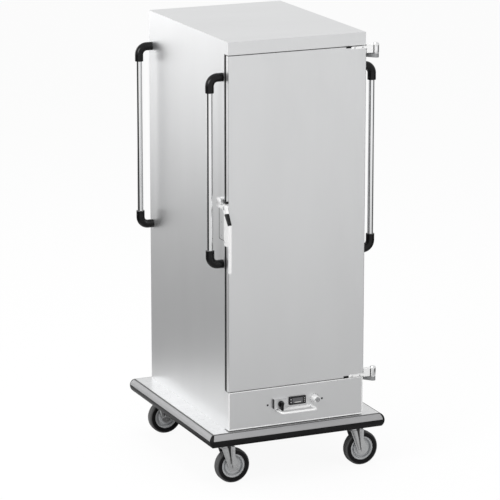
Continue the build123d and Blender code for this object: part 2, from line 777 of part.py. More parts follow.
door_core_half = half_width - DOOR_EDGE_RADIUS
door_core_low = door_low + DOOR_EDGE_RADIUS
door_core_top = door_top - DOOR_EDGE_RADIUS
with BuildPart() as door_insulation:
    block(
        (-door_core_half, door_front + SKIN, door_core_low),
        (door_core_half, door_rear - LINER, door_core_top),
    )
door_insulation.part.label = "door_insulation"
export_step(door_insulation.part, "parts/door_insulation.step")

with BuildPart() as door_liner:
    with BuildSketch(Plane.XZ.offset(-door_rear + LINER)):
        with Locations((0, (door_low + door_top) / 2)):
            RectangleRounded(
                2 * door_core_half, door_core_top - door_core_low, DOOR_EDGE_RADIUS
            )
    extrude(amount=-LINER)
door_liner.part.label = "door_liner"
export_step(door_liner.part, "parts/door_liner.step")

gasket_lip = GASKET_GAP - FACE_GAP
with BuildPart() as door_gasket:
    for inset, width, start, depth in (
        (GASKET_INSET, GASKET_WIDTH, 0, gasket_lip / 3),
        (GASKET_INSET + GASKET_WIDTH / 6, GASKET_WIDTH * 2 / 3, gasket_lip / 3, gasket_lip * 2 / 3),
    ):
        with BuildSketch(Plane.XZ.offset(-door_rear - start)):
            with Locations((0, (door_low + door_top) / 2)):
                RectangleRounded(
                    2 * (door_core_half - inset),
                    door_core_top - door_core_low - 2 * inset,
                    GASKET_WIDTH,
                )
                RectangleRounded(
                    2 * (door_core_half - inset - width),
                    door_core_top - door_core_low - 2 * (inset + width),
                    GASKET_WIDTH - width / 2,
                    mode=Mode.SUBTRACT,
                )
        extrude(amount=-depth)
door_gasket.part.label = "door_gasket"
export_step(door_gasket.part, "parts/door_gasket.step")

# Hinges: offset knuckles outside the right side. The lower knuckle of each hinge
# is on a bracket on the cabinet, and the upper one on a strap along the door edge.
pivot = (half_width + HINGE_OFFSET, door_front + HINGE_SETBACK)
hinge_splits = {"top": door_top - TOP_HINGE_DROP, "bottom": door_low - BOTTOM_HINGE_DROP}
strap_levels = {"top": door_top - HINGE_STRAP_HEIGHT, "bottom": door_low}
plate_front = body_front + HINGE_PLATE
with BuildPart() as hinge_brackets:
    for split in hinge_splits.values():
        with BuildSketch(Plane.XY.offset(split - HINGE_BRACKET)):
            with Locations(pivot):
                Circle(HINGE_BARREL_RADIUS)
            with Locations((half_width + HINGE_PLATE, plate_front + HINGE_PLATE)):
                Rectangle(2 * HINGE_PLATE, 2 * HINGE_PLATE)
            make_hull()
            with Locations(pivot):
                Circle(HINGE_PIN_RADIUS + RUNNING_FIT, mode=Mode.SUBTRACT)
        extrude(amount=HINGE_BRACKET)
        with BuildSketch(Plane.YZ.offset(half_width)):
            with Locations((plate_front + HINGE_PLATE_LENGTH / 2, split - HINGE_BRACKET / 2)):
                RectangleRounded(HINGE_PLATE_LENGTH, HINGE_PLATE_HEIGHT, 2 * HINGE_PLATE)
        extrude(amount=HINGE_PLATE)
hinge_brackets.part.label = "hinge_brackets"
export_step(hinge_brackets.part, "parts/hinge_brackets.step")

with BuildPart() as hinge_straps:
    for end, split in hinge_splits.items():
        knuckle_low = split + FACE_GAP
        strap_front = door_front - HINGE_STRAP_PROUD
        with BuildSketch(Plane.XY.offset(knuckle_low)):
            with Locations(pivot):
                Circle(HINGE_BARREL_RADIUS)
        extrude(amount=HINGE_KNUCKLE - FACE_GAP)
        with BuildSketch(Plane.XY.offset(split + HINGE_ARM_INSET)):
            with BuildLine():
                Polyline(
                    (half_width + LINER, strap_front),
                    (pivot[0], pivot[1] - HINGE_BARREL_RADIUS + LINER),
                    (pivot[0], pivot[1] + HINGE_BARREL_RADIUS / 2),
                    (half_width + LINER, pivot[1] + HINGE_BARREL_RADIUS / 2),
                    close=True,
                )
            make_face()
        extrude(amount=HINGE_KNUCKLE - HINGE_ARM_INSET)
        with BuildSketch(Plane.XY.offset(knuckle_low)):
            with Locations(pivot):
                Circle(HINGE_PIN_RADIUS + RUNNING_FIT)
        extrude(amount=HINGE_KNUCKLE, mode=Mode.SUBTRACT)
        low = strap_levels[end]
        with BuildSketch(Plane.XZ.offset(-strap_front)):
            with Locations((half_width - HINGE_STRAP_LENGTH / 2 + LINER, low + HINGE_STRAP_HEIGHT / 2)):
                Rectangle(HINGE_STRAP_LENGTH + 2 * LINER, HINGE_STRAP_HEIGHT)
        extrude(amount=-HINGE_STRAP_PROUD)
hinge_straps.part.label = "hinge_straps"
export_step(hinge_straps.part, "parts/hinge_straps.step")

with BuildPart() as hinge_pins:
    for split in hinge_splits.values():
        with BuildSketch(Plane.XY.offset(split - HINGE_BRACKET)):
            with Locations(pivot):
                Circle(HINGE_PIN_RADIUS)
        extrude(amount=HINGE_BRACKET + HINGE_KNUCKLE + FACE_GAP)
        with BuildSketch(Plane.XY.offset(split + HINGE_KNUCKLE + FACE_GAP)):
            with Locations(pivot):
                Circle(HINGE_BARREL_RADIUS - LINER)
        extrude(amount=HINGE_PLATE, taper=20)
hinge_pins.part.label = "hinge_pins"
export_step(hinge_pins.part, "parts/hinge_pins.step")

# Latch on the left edge: a mounting plate on the door, a pivoted lever with a
# hanging grip and a nose, and a hooked strike on the cabinet side.
latch_top = LATCH_HEIGHT + LATCH_PLATE_HEIGHT
latch_y = door_front + DOOR_EDGE_RADIUS + LATCH_PLATE_WIDTH / 2
lever_pivot = (latch_y - LATCH_PLATE_WIDTH / 2 + LATCH_PIVOT_SET, latch_top - LATCH_PIVOT_DROP)
lever_inner = half_width + LATCH_PLATE + SEAM
lever_outer = lever_inner + LEVER_THICKNESS
with BuildPart() as latch_plate:
    with BuildSketch(Plane.YZ.offset(-half_width)):
        with Locations((latch_y, (LATCH_HEIGHT + latch_top) / 2)):
            RectangleRounded(LATCH_PLATE_WIDTH, LATCH_PLATE_HEIGHT, 2 * LATCH_PLATE)
        with Locations(lever_pivot):
            Circle(LATCH_PIN_RADIUS + RUNNING_FIT, mode=Mode.SUBTRACT)
    extrude(amount=-LATCH_PLATE)
latch_plate.part.label = "latch_plate"
export_step(latch_plate.part, "parts/latch_plate.step")

with BuildPart() as latch_pin:
    with BuildSketch(Plane.YZ.offset(-half_width)):
        with Locations(lever_pivot):
            Circle(LATCH_PIN_RADIUS)
    extrude(amount=-(lever_outer - half_width + FACE_GAP))
    with BuildSketch(Plane.YZ.offset(-lever_outer - FACE_GAP)):
        with Locations(lever_pivot):
            Circle(LATCH_PIN_RADIUS * 2)
    extrude(amount=-LATCH_PIN_RADIUS / 2)
latch_pin.part.label = "latch_pin"
export_step(latch_pin.part, "parts/latch_pin.step")

grip_front = door_front - LEVER_REACH
grip_rear = grip_front + LEVER_GRIP_DEPTH
grip_top = lever_pivot[1] - LEVER_ARM_RISE
nose_low = lever_pivot[1] - LEVER_NOSE_HEIGHT / 2
with BuildPart() as latch_lever:
    with BuildSketch(Plane.YZ.offset(-lever_inner)) as lever_side:
        with Locations(lever_pivot):
            Circle(LEVER_HEAD_RADIUS)
        with Locations((lever_pivot[0] + LEVER_NOSE_LENGTH / 2, lever_pivot[1])):
            Rectangle(LEVER_NOSE_LENGTH, LEVER_NOSE_HEIGHT)
        with BuildLine():
            Polyline(
                (lever_pivot[0] - LEVER_HEAD_RADIUS, lever_pivot[1]),
                (grip_front, grip_top),
                (grip_front, grip_top - LEVER_GRIP),
                (grip_rear, grip_top - LEVER_GRIP),
                (grip_rear, grip_top - LEVER_GRIP_DEPTH / 2),
                (lever_pivot[0] + LEVER_HEAD_RADIUS / 2, lever_pivot[1] - LEVER_HEAD_RADIUS / 2),
                close=True,
            )
        make_face()
        grip_end = lever_side.vertices().group_by(Axis.Y)[0]
        fillet(grip_end, LEVER_GRIP_DEPTH / 3)
        with Locations(lever_pivot):
            Circle(LATCH_PIN_RADIUS + RUNNING_FIT, mode=Mode.SUBTRACT)
    extrude(amount=-LEVER_THICKNESS)
latch_lever.part.label = "latch_lever"
export_step(latch_lever.part, "parts/latch_lever.step")

strike_front = body_front + FACE_GAP
nose_top = nose_low + LEVER_NOSE_HEIGHT
with BuildPart() as strike:
    with BuildSketch(Plane.YZ.offset(-half_width)):
        with Locations((strike_front + STRIKE_WIDTH / 2, nose_low - SEAM - STRIKE_HEIGHT / 2)):
            RectangleRounded(STRIKE_WIDTH, STRIKE_HEIGHT, 2 * STRIKE_SHEET)
        with Locations((strike_front + STRIKE_WIDTH / 2, nose_top)):
            Rectangle(STRIKE_WIDTH / 2, 2 * STRIKE_HOOK_HEIGHT)
    extrude(amount=-STRIKE_SHEET)
    with BuildSketch(Plane.YZ.offset(-half_width)) as hook:
        with Locations((strike_front + STRIKE_WIDTH / 2, nose_top + SEAM + STRIKE_HOOK_HEIGHT / 2)):
            Rectangle(STRIKE_WIDTH, STRIKE_HOOK_HEIGHT)
        fillet(hook.vertices().group_by(Axis.Y)[-1], STRIKE_HOOK_HEIGHT / 3)
    extrude(amount=half_width - lever_outer)
strike.part.label = "strike"
export_step(strike.part, "parts/strike.step")

# Push handles: chromed tubes between moulded elbows, two on each side
handle_ys = (body_front + HANDLE_FRONT_INSET, body_rear - HANDLE_REAR_INSET)
handle_ends = ((handle_low, 1), (handle_high, -1))
socket_floor = ELBOW_SOCKET - ELBOW_DEPTH
for side, side_sign in (("left", -1), ("right", 1)):
    tube_x = side_sign * (half_width + HANDLE_STANDOFF)
    with BuildPart() as handle_tubes:
        for y in handle_ys:
            with BuildSketch(Plane.XY.offset(handle_low + socket_floor)):
                with Locations((tube_x, y)):
                    Circle(HANDLE_TUBE_RADIUS)
                    Circle(HANDLE_TUBE_RADIUS - HANDLE_TUBE_WALL, mode=Mode.SUBTRACT)
            extrude(amount=HANDLE_SPAN - 2 * socket_floor)
    handle_tubes.part.label = f"handle_tubes_{side}"
    export_step(handle_tubes.part, f"parts/handle_tubes_{side}.step")

    with BuildPart() as handle_elbows:
        for y in handle_ys:
            for level, inward in handle_ends:
                with BuildLine(Plane.XZ.offset(-y)) as elbow_path:
                    FilletPolyline(
                        (side_sign * half_width, level),
                        (tube_x, level),
                        (tube_x, level + inward * ELBOW_SOCKET),
                        radius=ELBOW_BEND,
                    )
                with BuildSketch(Plane(origin=(side_sign * half_width, y, level), z_dir=(side_sign, 0, 0))):
                    Circle(ELBOW_RADIUS)
                sweep(path=elbow_path.wires()[0])
                socket = level + inward * ELBOW_SOCKET
                with BuildSketch(Plane.XY.offset(socket)):
                    with Locations((tube_x, y)):
                        Circle(HANDLE_TUBE_RADIUS + RUNNING_FIT)
                extrude(amount=-inward * ELBOW_DEPTH, mode=Mode.SUBTRACT)
    handle_elbows.part.label = f"handle_elbows_{side}"
    export_step(handle_elbows.part, f"parts/handle_elbows_{side}.step")

# Cable gland in the back panel: threaded stem, hexagon, dome and inside nut
with BuildPart() as cable_gland:
    with BuildSketch(Plane.XZ.offset(-body_rear + SKIN)):
        with Locations(gland_point):
            Circle(GLAND_THREAD_RADIUS)
    extrude(amount=-SKIN)
    with BuildSketch(Plane.XZ.offset(-body_rear)):
        with Locations(gland_point):
            RegularPolygon(GLAND_NUT / 2, 6, major_radius=False)
    extrude(amount=-GLAND_OUTSIDE / 2)
    with BuildSketch(Plane.XZ.offset(-body_rear - GLAND_OUTSIDE / 2)):
        with Locations(gland_point):
            Circle(GLAND_THREAD_RADIUS)
    extrude(amount=-GLAND_OUTSIDE / 2, taper=10)
    with BuildSketch(Plane.XZ.offset(-body_rear + SKIN)):
        with Locations(gland_point):
            RegularPolygon(GLAND_NUT / 2, 6, major_radius=False)
    extrude(amount=GLAND_INSIDE)
    with BuildSketch(Plane.XZ.offset(-body_rear - GLAND_OUTSIDE)):
        with Locations(gland_point):
            Circle(GLAND_BORE_RADIUS)
    extrude(amount=GLAND_OUTSIDE + SKIN + GLAND_INSIDE, mode=Mode.SUBTRACT)
cable_gland.part.label = "cable_gland"
export_step(cable_gland.part, "parts/cable_gland.step")

# Heating module: a front pan that carries the controls, and a tray behind it that
# holds the fan and the element and slides out on two rails on the deck.
tray_low = module_low + MODULE_SHEET
tray_floor = tray_low + MODULE_SHEET
tray_half = TRAY_WIDTH / 2
tray_front = fascia_front + MODULE_SHEET
pull_level = control_level - PULL_DROP
with BuildPart() as module_front:
    block((-half_width, fascia_front, module_low), (half_width, body_front - SEAM, module_top))
    block(
        (-half_width + MODULE_SHEET, tray_front, tray_low),
        (half_width - MODULE_SHEET, body_front - SEAM, module_top - MODULE_SHEET),
        Mode.SUBTRACT,
    )
    with BuildSketch(Plane.XZ.offset(-fascia_front)):
        with Locations((CONTROLLER_X, control_level)):
            Rectangle(CONTROLLER_BODY_WIDTH + SEAM, CONTROLLER_BODY_HEIGHT + SEAM)
        with Locations((SWITCH_X, switch_level), (KNOB_X, knob_level)):
            Circle(SHAFT_RADIUS + RUNNING_FIT)
    extrude(amount=-MODULE_SHEET, mode=Mode.SUBTRACT)
module_front.part.label = "module_front"
export_step(module_front.part, "parts/module_front.step")

with BuildPart() as module_tray:
    with BuildSketch(Plane.XZ.offset(-tray_front)):
        with Locations((0, tray_low + TRAY_FLANGE / 2)):
            Rectangle(TRAY_WIDTH, TRAY_FLANGE)
        with Locations((0, tray_floor + TRAY_FLANGE / 2)):
            Rectangle(TRAY_WIDTH - 2 * MODULE_SHEET, TRAY_FLANGE, mode=Mode.SUBTRACT)
    extrude(amount=-TRAY_LENGTH)
module_tray.part.label = "module_tray"
export_step(module_tray.part, "parts/module_tray.step")

with BuildPart() as module_rails:
    rail_top = tray_low - FACE_GAP
    for side_sign in (-1, 1):
        guide = side_sign * (tray_half + SEAM)
        with BuildSketch(Plane.XZ.offset(-body_front - SKIN)):
            with BuildLine():
                Polyline(
                    (guide + side_sign * RAIL_SHEET, deck_top),
                    (guide - side_sign * RAIL_WIDTH, deck_top),
                    (guide - side_sign * RAIL_WIDTH, rail_top),
                    (guide, rail_top),
                    (guide, rail_top + RAIL_GUIDE),
                    (guide + side_sign * RAIL_SHEET, rail_top + RAIL_GUIDE),
                    close=True,
                )
            make_face()
        extrude(amount=-TRAY_LENGTH)
module_rails.part.label = "module_rails"
export_step(module_rails.part, "parts/module_rails.step")

with BuildPart() as control_box:
    box_low = control_level - CONTROL_BOX_HEIGHT / 2
    box_high = control_level + CONTROL_BOX_HEIGHT / 2
    box_rear = tray_front + CONTROL_BOX_DEPTH
    box_middle = (SWITCH_X + KNOB_X) / 2
    box_half = CONTROL_BOX_WIDTH / 2
    block((box_middle - box_half, tray_front, box_low), (box_middle + box_half, box_rear, box_high))
    block(
        (box_middle - box_half + MODULE_SHEET, tray_front, box_low + MODULE_SHEET),
        (box_middle + box_half - MODULE_SHEET, box_rear - MODULE_SHEET, box_high - MODULE_SHEET),
        Mode.SUBTRACT,
    )
control_box.part.label = "control_box"
export_step(control_box.part, "parts/control_box.step")

# Digital controller: bezel with its body behind the panel, window and two keys
bezel_front = fascia_front - BEZEL_PROUD
key_levels = {"up": control_level + KEY_PITCH / 2, "down": control_level - KEY_PITCH / 2}
with BuildPart() as controller:
    with BuildSketch(Plane.XZ.offset(-fascia_front)):
        with Locations((CONTROLLER_X, control_level)):
            RectangleRounded(BEZEL_WIDTH, BEZEL_HEIGHT, BEZEL_PROUD / 2)
    extrude(amount=BEZEL_PROUD)
    fillet(controller.faces().sort_by(Axis.Y)[0].edges(), BEZEL_PROUD / 6)
    with BuildSketch(Plane.XZ.offset(-fascia_front)):
        with Locations((CONTROLLER_X, control_level)):
            Rectangle(CONTROLLER_BODY_WIDTH, CONTROLLER_BODY_HEIGHT)
    extrude(amount=-CONTROLLER_BODY_DEPTH)
    with BuildSketch(Plane.XZ.offset(-bezel_front)):
        with Locations((CONTROLLER_X, control_level)):
            Rectangle(WINDOW_WIDTH + SEAM, WINDOW_HEIGHT + SEAM)
    extrude(amount=-WINDOW_SHEET, mode=Mode.SUBTRACT)
    with BuildSketch(Plane.XZ.offset(-bezel_front)):
        for level in key_levels.values():
            with Locations((CONTROLLER_X - KEY_OFFSET, level)):
                Circle(KEY_RADIUS + FACE_GAP)
    extrude(amount=-BEZEL_PROUD / 2, mode=Mode.SUBTRACT)
controller.part.label = "controller"
export_step(controller.part, "parts/controller.step")

with BuildPart() as controller_window:
    with BuildSketch(Plane.XZ.offset(-bezel_front)):
        with Locations((CONTROLLER_X, control_level)):
            Rectangle(WINDOW_WIDTH, WINDOW_HEIGHT)
    extrude(amount=-WINDOW_SHEET)
controller_window.part.label = "controller_window"
export_step(controller_window.part, "parts/controller_window.step")

for name, level in key_levels.items():
    with BuildPart() as key:
        with BuildSketch(Plane.XZ.offset(-bezel_front + KEY_PROUD)):
            with Locations((CONTROLLER_X - KEY_OFFSET, level)):
                Circle(KEY_RADIUS)
        extrude(amount=-(BEZEL_PROUD / 2 + KEY_PROUD - KEY_TRAVEL - FACE_GAP))
        fillet(key.faces().sort_by(Axis.Y)[0].edges(), KEY_PROUD / 2)
    key.part.label = f"key_{name}"
    export_step(key.part, f"parts/key_{name}.step")

# Rotary switch: a raised plate and a bar knob with its shaft
switch_front = fascia_front - SWITCH_PROUD
with BuildPart() as switch_base:
    with BuildSketch(Plane.XZ.offset(-fascia_front)):
        with Locations((SWITCH_X, switch_level)):
            RectangleRounded(SWITCH_WIDTH, SWITCH_HEIGHT, SHAFT_RADIUS)
            Circle(SHAFT_RADIUS + RUNNING_FIT, mode=Mode.SUBTRACT)
    extrude(amount=SWITCH_PROUD)
    fillet(switch_base.faces().sort_by(Axis.Y)[0].outer_wire().edges(), SHAFT_RADIUS / 2)
switch_base.part.label = "switch_base"
export_step(switch_base.part, "parts/switch_base.step")

with BuildPart() as switch_knob:
    knob_seat = switch_front - FACE_GAP
    with BuildSketch(Plane.XZ.offset(-knob_seat)):
        with Locations((SWITCH_X, switch_level)):
            Circle(SWITCH_DISC_RADIUS)
    extrude(amount=SWITCH_DISC, taper=8)
    with BuildSketch(Plane.XZ.offset(-knob_seat + SWITCH_DISC - SEAM)):
        with Locations((SWITCH_X, switch_level - SWITCH_BAR_DROP)):
            SlotOverall(SWITCH_BAR_LENGTH, SWITCH_BAR_WIDTH, rotation=90)
    extrude(amount=SWITCH_BAR, taper=4)
    fillet(switch_knob.faces().sort_by(Axis.Y)[0].edges(), SHAFT_RADIUS / 2)
    with BuildSketch(Plane.XZ.offset(-knob_seat)):
        with Locations((SWITCH_X, switch_level)):
            Circle(SHAFT_RADIUS)
    extrude(amount=-SHAFT_LENGTH)
switch_knob.part.label = "switch_knob"
export_step(switch_knob.part, "parts/switch_knob.step")

# Regulator knob: chromed, with a pointer ridge across its face
with BuildPart() as regulator_knob:
    knob_seat = fascia_front - FACE_GAP
    with BuildSketch(Plane.XZ.offset(-knob_seat)):
        with Locations((KNOB_X, knob_level)):
            Circle(KNOB_RADIUS)
    extrude(amount=KNOB_LENGTH, taper=4)
    fillet(regulator_knob.faces().sort_by(Axis.Y)[0].edges(), SHAFT_RADIUS / 2)
    with BuildSketch(Plane.XZ.offset(-knob_seat + KNOB_LENGTH - SEAM)):
        with Locations((KNOB_X, knob_level)):
            SlotOverall(KNOB_RADIUS * 1.6, SHAFT_RADIUS * 1.5, rotation=45)
    extrude(amount=SHAFT_RADIUS + SEAM, taper=6)
    with BuildSketch(Plane.XZ.offset(-knob_seat)):
        with Locations((KNOB_X, knob_level)):
            Circle(SHAFT_RADIUS)
    extrude(amount=-SHAFT_LENGTH)
regulator_knob.part.label = "regulator_knob"
export_step(regulator_knob.part, "parts/regulator_knob.step")

# Pull handle: one bent bar under the controls
with BuildPart() as pull_handle:
    bar_front = fascia_front - PULL_REACH + PULL_BAR_RADIUS
    pull_left = PULL_X - PULL_WIDTH / 2
    pull_right = PULL_X + PULL_WIDTH / 2
    with BuildLine(Plane.XY.offset(pull_level)) as pull_path:
        FilletPolyline(
            (pull_left, fascia_front),
            (pull_left, bar_front),
            (pull_right, bar_front),
            (pull_right, fascia_front),
            radius=PULL_BEND,
        )
    with BuildSketch(Plane(origin=(pull_left, fascia_front, pull_level), z_dir=(0, -1, 0))):
        Circle(PULL_BAR_RADIUS)
    sweep(path=pull_path.wires()[0])
pull_handle.part.label = "pull_handle"
export_step(pull_handle.part, "parts/pull_handle.step")

# Fan: a flanged motor on the tray with a backward-curved impeller above it
fan_point = (0, fan_y)
motor_top = tray_floor + MOTOR_HEIGHT
with BuildPart() as fan_motor:
    with BuildSketch(Plane.XY.offset(tray_floor)):
        with Locations(fan_point):
            Circle(MOTOR_RADIUS + 2 * FAN_SHAFT_RADIUS)
    extrude(amount=FAN_BLADE_SHEET * 2)
    with BuildSketch(Plane.XY.offset(tray_floor)):
        with Locations(fan_point):
            Circle(MOTOR_RADIUS)
    extrude(amount=MOTOR_HEIGHT)
    fillet(fan_motor.faces().sort_by(Axis.Z)[-1].edges(), FAN_SHAFT_RADIUS)
    with BuildSketch(Plane.XY.offset(motor_top)):
        with Locations(fan_point):
            Circle(FAN_SHAFT_RADIUS + RUNNING_FIT)
    extrude(amount=-MOTOR_HEIGHT / 2, mode=Mode.SUBTRACT)
fan_motor.part.label = "fan_motor"
export_step(fan_motor.part, "parts/fan_motor.step")

with BuildPart() as fan_impeller:
    disc_low = motor_top + FACE_GAP
    with BuildSketch(Plane.XY.offset(disc_low)):
        with Locations(fan_point):
            Circle(FAN_RADIUS)
    extrude(amount=FAN_BLADE_SHEET)
    with BuildSketch(Plane.XY.offset(disc_low)):
        with Locations(fan_point):
            Circle(FAN_HUB_RADIUS)
    extrude(amount=FAN_BLADE_HEIGHT / 2)
    blade_root = FAN_RADIUS * 0.55
    blade_tip = FAN_RADIUS * 0.92
    for blade in range(FAN_BLADES):
        spoke = Plane(origin=(0, fan_y, disc_low), x_dir=(
            cos(radians(360 / FAN_BLADES * blade)),
            sin(radians(360 / FAN_BLADES * blade)),
            0,
        ))
        with BuildSketch(spoke):
            with BuildLine():
                RadiusArc((blade_root, 0), (blade_tip, -blade_root / 2), -FAN_RADIUS)
                RadiusArc(
                    (blade_root, FAN_BLADE_SHEET),
                    (blade_tip, FAN_BLADE_SHEET - blade_root / 2),
                    -FAN_RADIUS,
                )
                Line((blade_root, 0), (blade_root, FAN_BLADE_SHEET))
                Line((blade_tip, -blade_root / 2), (blade_tip, FAN_BLADE_SHEET - blade_root / 2))
            make_face()
        extrude(amount=FAN_BLADE_HEIGHT)
    with BuildSketch(Plane.XY.offset(disc_low)):
        with Locations(fan_point):
            Circle(FAN_SHAFT_RADIUS)
    extrude(amount=-MOTOR_HEIGHT / 3)
fan_impeller.part.label = "fan_impeller"
export_step(fan_impeller.part, "parts/fan_impeller.step")

# Heating element: one serpentine tube held by two punched brackets on the tray
heater_level = tray_floor + HEATER_RISE
heater_start = heater_y - HEATER_PITCH * (HEATER_PASSES - 1) / 2
with BuildPart() as heating_element:
    turns = []
    for row in range(HEATER_PASSES):
        y = heater_start + row * HEATER_PITCH
        ends = [(-HEATER_LENGTH / 2, y), (HEATER_LENGTH / 2, y)]
        turns += ends if row % 2 == 0 else ends[::-1]
    with BuildLine(Plane.XY.offset(heater_level)) as heater_path:
        FilletPolyline(*turns, radius=HEATER_PITCH / 2 - SEAM)
    with BuildSketch(Plane(origin=(*turns[0], heater_level), z_dir=(1, 0, 0))):
        Circle(HEATER_TUBE_RADIUS)
    sweep(path=heater_path.wires()[0])
heating_element.part.label = "heating_element"
export_step(heating_element.part, "parts/heating_element.step")

with BuildPart() as heater_brackets:
    bracket_length = HEATER_PITCH * HEATER_PASSES
    bracket_top = heater_level + HEATER_TUBE_RADIUS * 3
    for side_sign in (-1, 1):
        with BuildSketch(Plane.YZ.offset(side_sign * HEATER_BRACKET_SPACING / 2)):
            with Locations((heater_y, (tray_floor + bracket_top) / 2)):
                Rectangle(bracket_length, bracket_top - tray_floor)
            with Locations((heater_y, heater_level)):
                with GridLocations(HEATER_PITCH, 0, HEATER_PASSES, 1):
                    Circle(HEATER_TUBE_RADIUS + FACE_GAP, mode=Mode.SUBTRACT)
        extrude(amount=HEATER_BRACKET_SHEET / 2, both=True)
heater_brackets.part.label = "heater_brackets"
export_step(heater_brackets.part, "parts/heater_brackets.step")
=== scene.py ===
import bmesh
import bpy
import json
import math
from mathutils import Matrix, Vector


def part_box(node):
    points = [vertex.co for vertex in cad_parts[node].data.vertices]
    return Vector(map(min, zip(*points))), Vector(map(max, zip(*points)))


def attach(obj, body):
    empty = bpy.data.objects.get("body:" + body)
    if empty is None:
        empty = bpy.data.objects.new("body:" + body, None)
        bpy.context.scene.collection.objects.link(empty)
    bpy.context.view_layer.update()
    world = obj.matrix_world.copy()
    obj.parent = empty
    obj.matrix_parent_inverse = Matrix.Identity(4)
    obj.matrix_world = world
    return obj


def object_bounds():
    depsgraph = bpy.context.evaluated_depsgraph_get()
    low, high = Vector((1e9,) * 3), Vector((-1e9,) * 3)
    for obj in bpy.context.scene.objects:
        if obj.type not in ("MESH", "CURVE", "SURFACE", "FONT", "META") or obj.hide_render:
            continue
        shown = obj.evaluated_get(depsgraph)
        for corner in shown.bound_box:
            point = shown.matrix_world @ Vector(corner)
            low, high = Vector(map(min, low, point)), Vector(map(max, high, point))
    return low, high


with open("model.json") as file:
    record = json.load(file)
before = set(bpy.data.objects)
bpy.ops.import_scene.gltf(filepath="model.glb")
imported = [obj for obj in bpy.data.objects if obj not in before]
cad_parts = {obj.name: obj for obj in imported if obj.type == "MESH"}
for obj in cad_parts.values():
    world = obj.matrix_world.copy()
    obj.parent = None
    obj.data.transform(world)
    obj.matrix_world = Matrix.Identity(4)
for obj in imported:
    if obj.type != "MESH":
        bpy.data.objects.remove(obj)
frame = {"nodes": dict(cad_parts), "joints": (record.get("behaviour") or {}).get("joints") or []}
cad_low, cad_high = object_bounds()

# Castor plates: pressed steel plates with riveted kingpins, bright zinc plated.
# Four hexagon bolts hold each plate up against the chassis rails.
MM = 0.001
DOWN = (0, 0, -1)
SHARP_EDGE = math.radians(35)
GRAIN_DETAIL = 3
PATCH_DETAIL = 2
NOISE_LOW = 0.25
NOISE_HIGH = 0.75
RELIEF_DEPTH = 0.1 * MM
DISC_SEGMENTS = 24
ZINC = (0.60, 0.61, 0.63)
CASTOR_PLATE_SHEET = 5 * MM
BOLT_SPACING_X = 80 * MM
BOLT_SPACING_Y = 60 * MM
BOLT_FLATS = 13 * MM
BOLT_SIDES = 6
BOLT_HEIGHT = 5.5 * MM
WASHER_RADIUS = 8.5 * MM
WASHER_SHEET = 1.2 * MM


def feed(tree, inlet, term):
    """Link a socket to an inlet, or set the inlet to a plain value."""
    if isinstance(term, bpy.types.NodeSocket):
        tree.links.new(term, inlet)
    else:
        inlet.default_value = term


def calc(tree, operation, *terms):
    """Work out a value from sockets and plain numbers."""
    node = tree.nodes.new("ShaderNodeMath")
    node.operation = operation
    for inlet, term in zip(node.inputs, terms):
        feed(tree, inlet, term)
    return node.outputs[0]


def map_range(tree, value, low, high, new_low=0, new_high=1):
    """Map a value from one range to another, held at both ends."""
    node = tree.nodes.new("ShaderNodeMapRange")
    inlets = ("Value", "From Min", "From Max", "To Min", "To Max")
    for inlet, term in zip(inlets, (value, low, high, new_low, new_high)):
        feed(tree, node.inputs[inlet], term)
    return node.outputs["Result"]


def new_group(name, inlets, outlets):
    """A node group with named sockets; gives the group, what goes in and what comes out."""
    group = bpy.data.node_groups.new(name, "ShaderNodeTree")
    for in_out, sockets in (("INPUT", inlets), ("OUTPUT", outlets)):
        for socket, kind in sockets.items():
            group.interface.new_socket(socket, in_out=in_out, socket_type=f"NodeSocket{kind}")
    given = group.nodes.new("NodeGroupInput").outputs
    result = group.nodes.new("NodeGroupOutput").inputs
    return group, given, result


def add_noise(tree, stretch, detail):
    """Soft noise on object coordinates, stretched along each axis."""
    coords = tree.nodes.new("ShaderNodeTexCoord")
    scaled = tree.nodes.new("ShaderNodeVectorMath")
    scaled.operation = "MULTIPLY"
    noise = tree.nodes.new("ShaderNodeTexNoise")
    noise.inputs["Scale"].default_value = 1
    noise.inputs["Detail"].default_value = detail
    tree.links.new(coords.outputs["Object"], scaled.inputs[0])
    tree.links.new(stretch, scaled.inputs[1])
    tree.links.new(scaled.outputs[0], noise.inputs["Vector"])
    return noise.outputs["Fac"]


def make_grain_group():
    """Fine streaks or specks on object coordinates, mapped between two values."""
    inlets = {"Stretch": "Vector", "Low": "Float", "High": "Float"}
    group, given, result = new_group("fine_grain", inlets, {"Value": "Float"})
    noise = add_noise(group, given["Stretch"], GRAIN_DETAIL)
    value = map_range(group, noise, NOISE_LOW, NOISE_HIGH, given["Low"], given["High"])
    group.links.new(value, result["Value"])
    return group


def make_tone_group():
    """A colour that grows a little lighter and darker in broad soft patches."""
    inlets = {"Color": "Color", "Stretch": "Vector", "Amount": "Float"}
    group, given, result = new_group("soft_tone", inlets, {"Color": "Color"})
    noise = add_noise(group, given["Stretch"], PATCH_DETAIL)
    swing = map_range(group, noise, NOISE_LOW, NOISE_HIGH, -1, 1)
    change = calc(group, "MULTIPLY_ADD", swing, given["Amount"], 1)
    tint = group.nodes.new("ShaderNodeVectorMath")
    tint.operation = "SCALE"
    group.links.new(given["Color"], tint.inputs[0])
    group.links.new(change, tint.inputs["Scale"])
    group.links.new(tint.outputs[0], result["Color"])
    return group


fine_grain = make_grain_group()
soft_tone = make_tone_group()


def even(scale):
    """The same scale along all three axes."""
    return (scale, scale, scale)


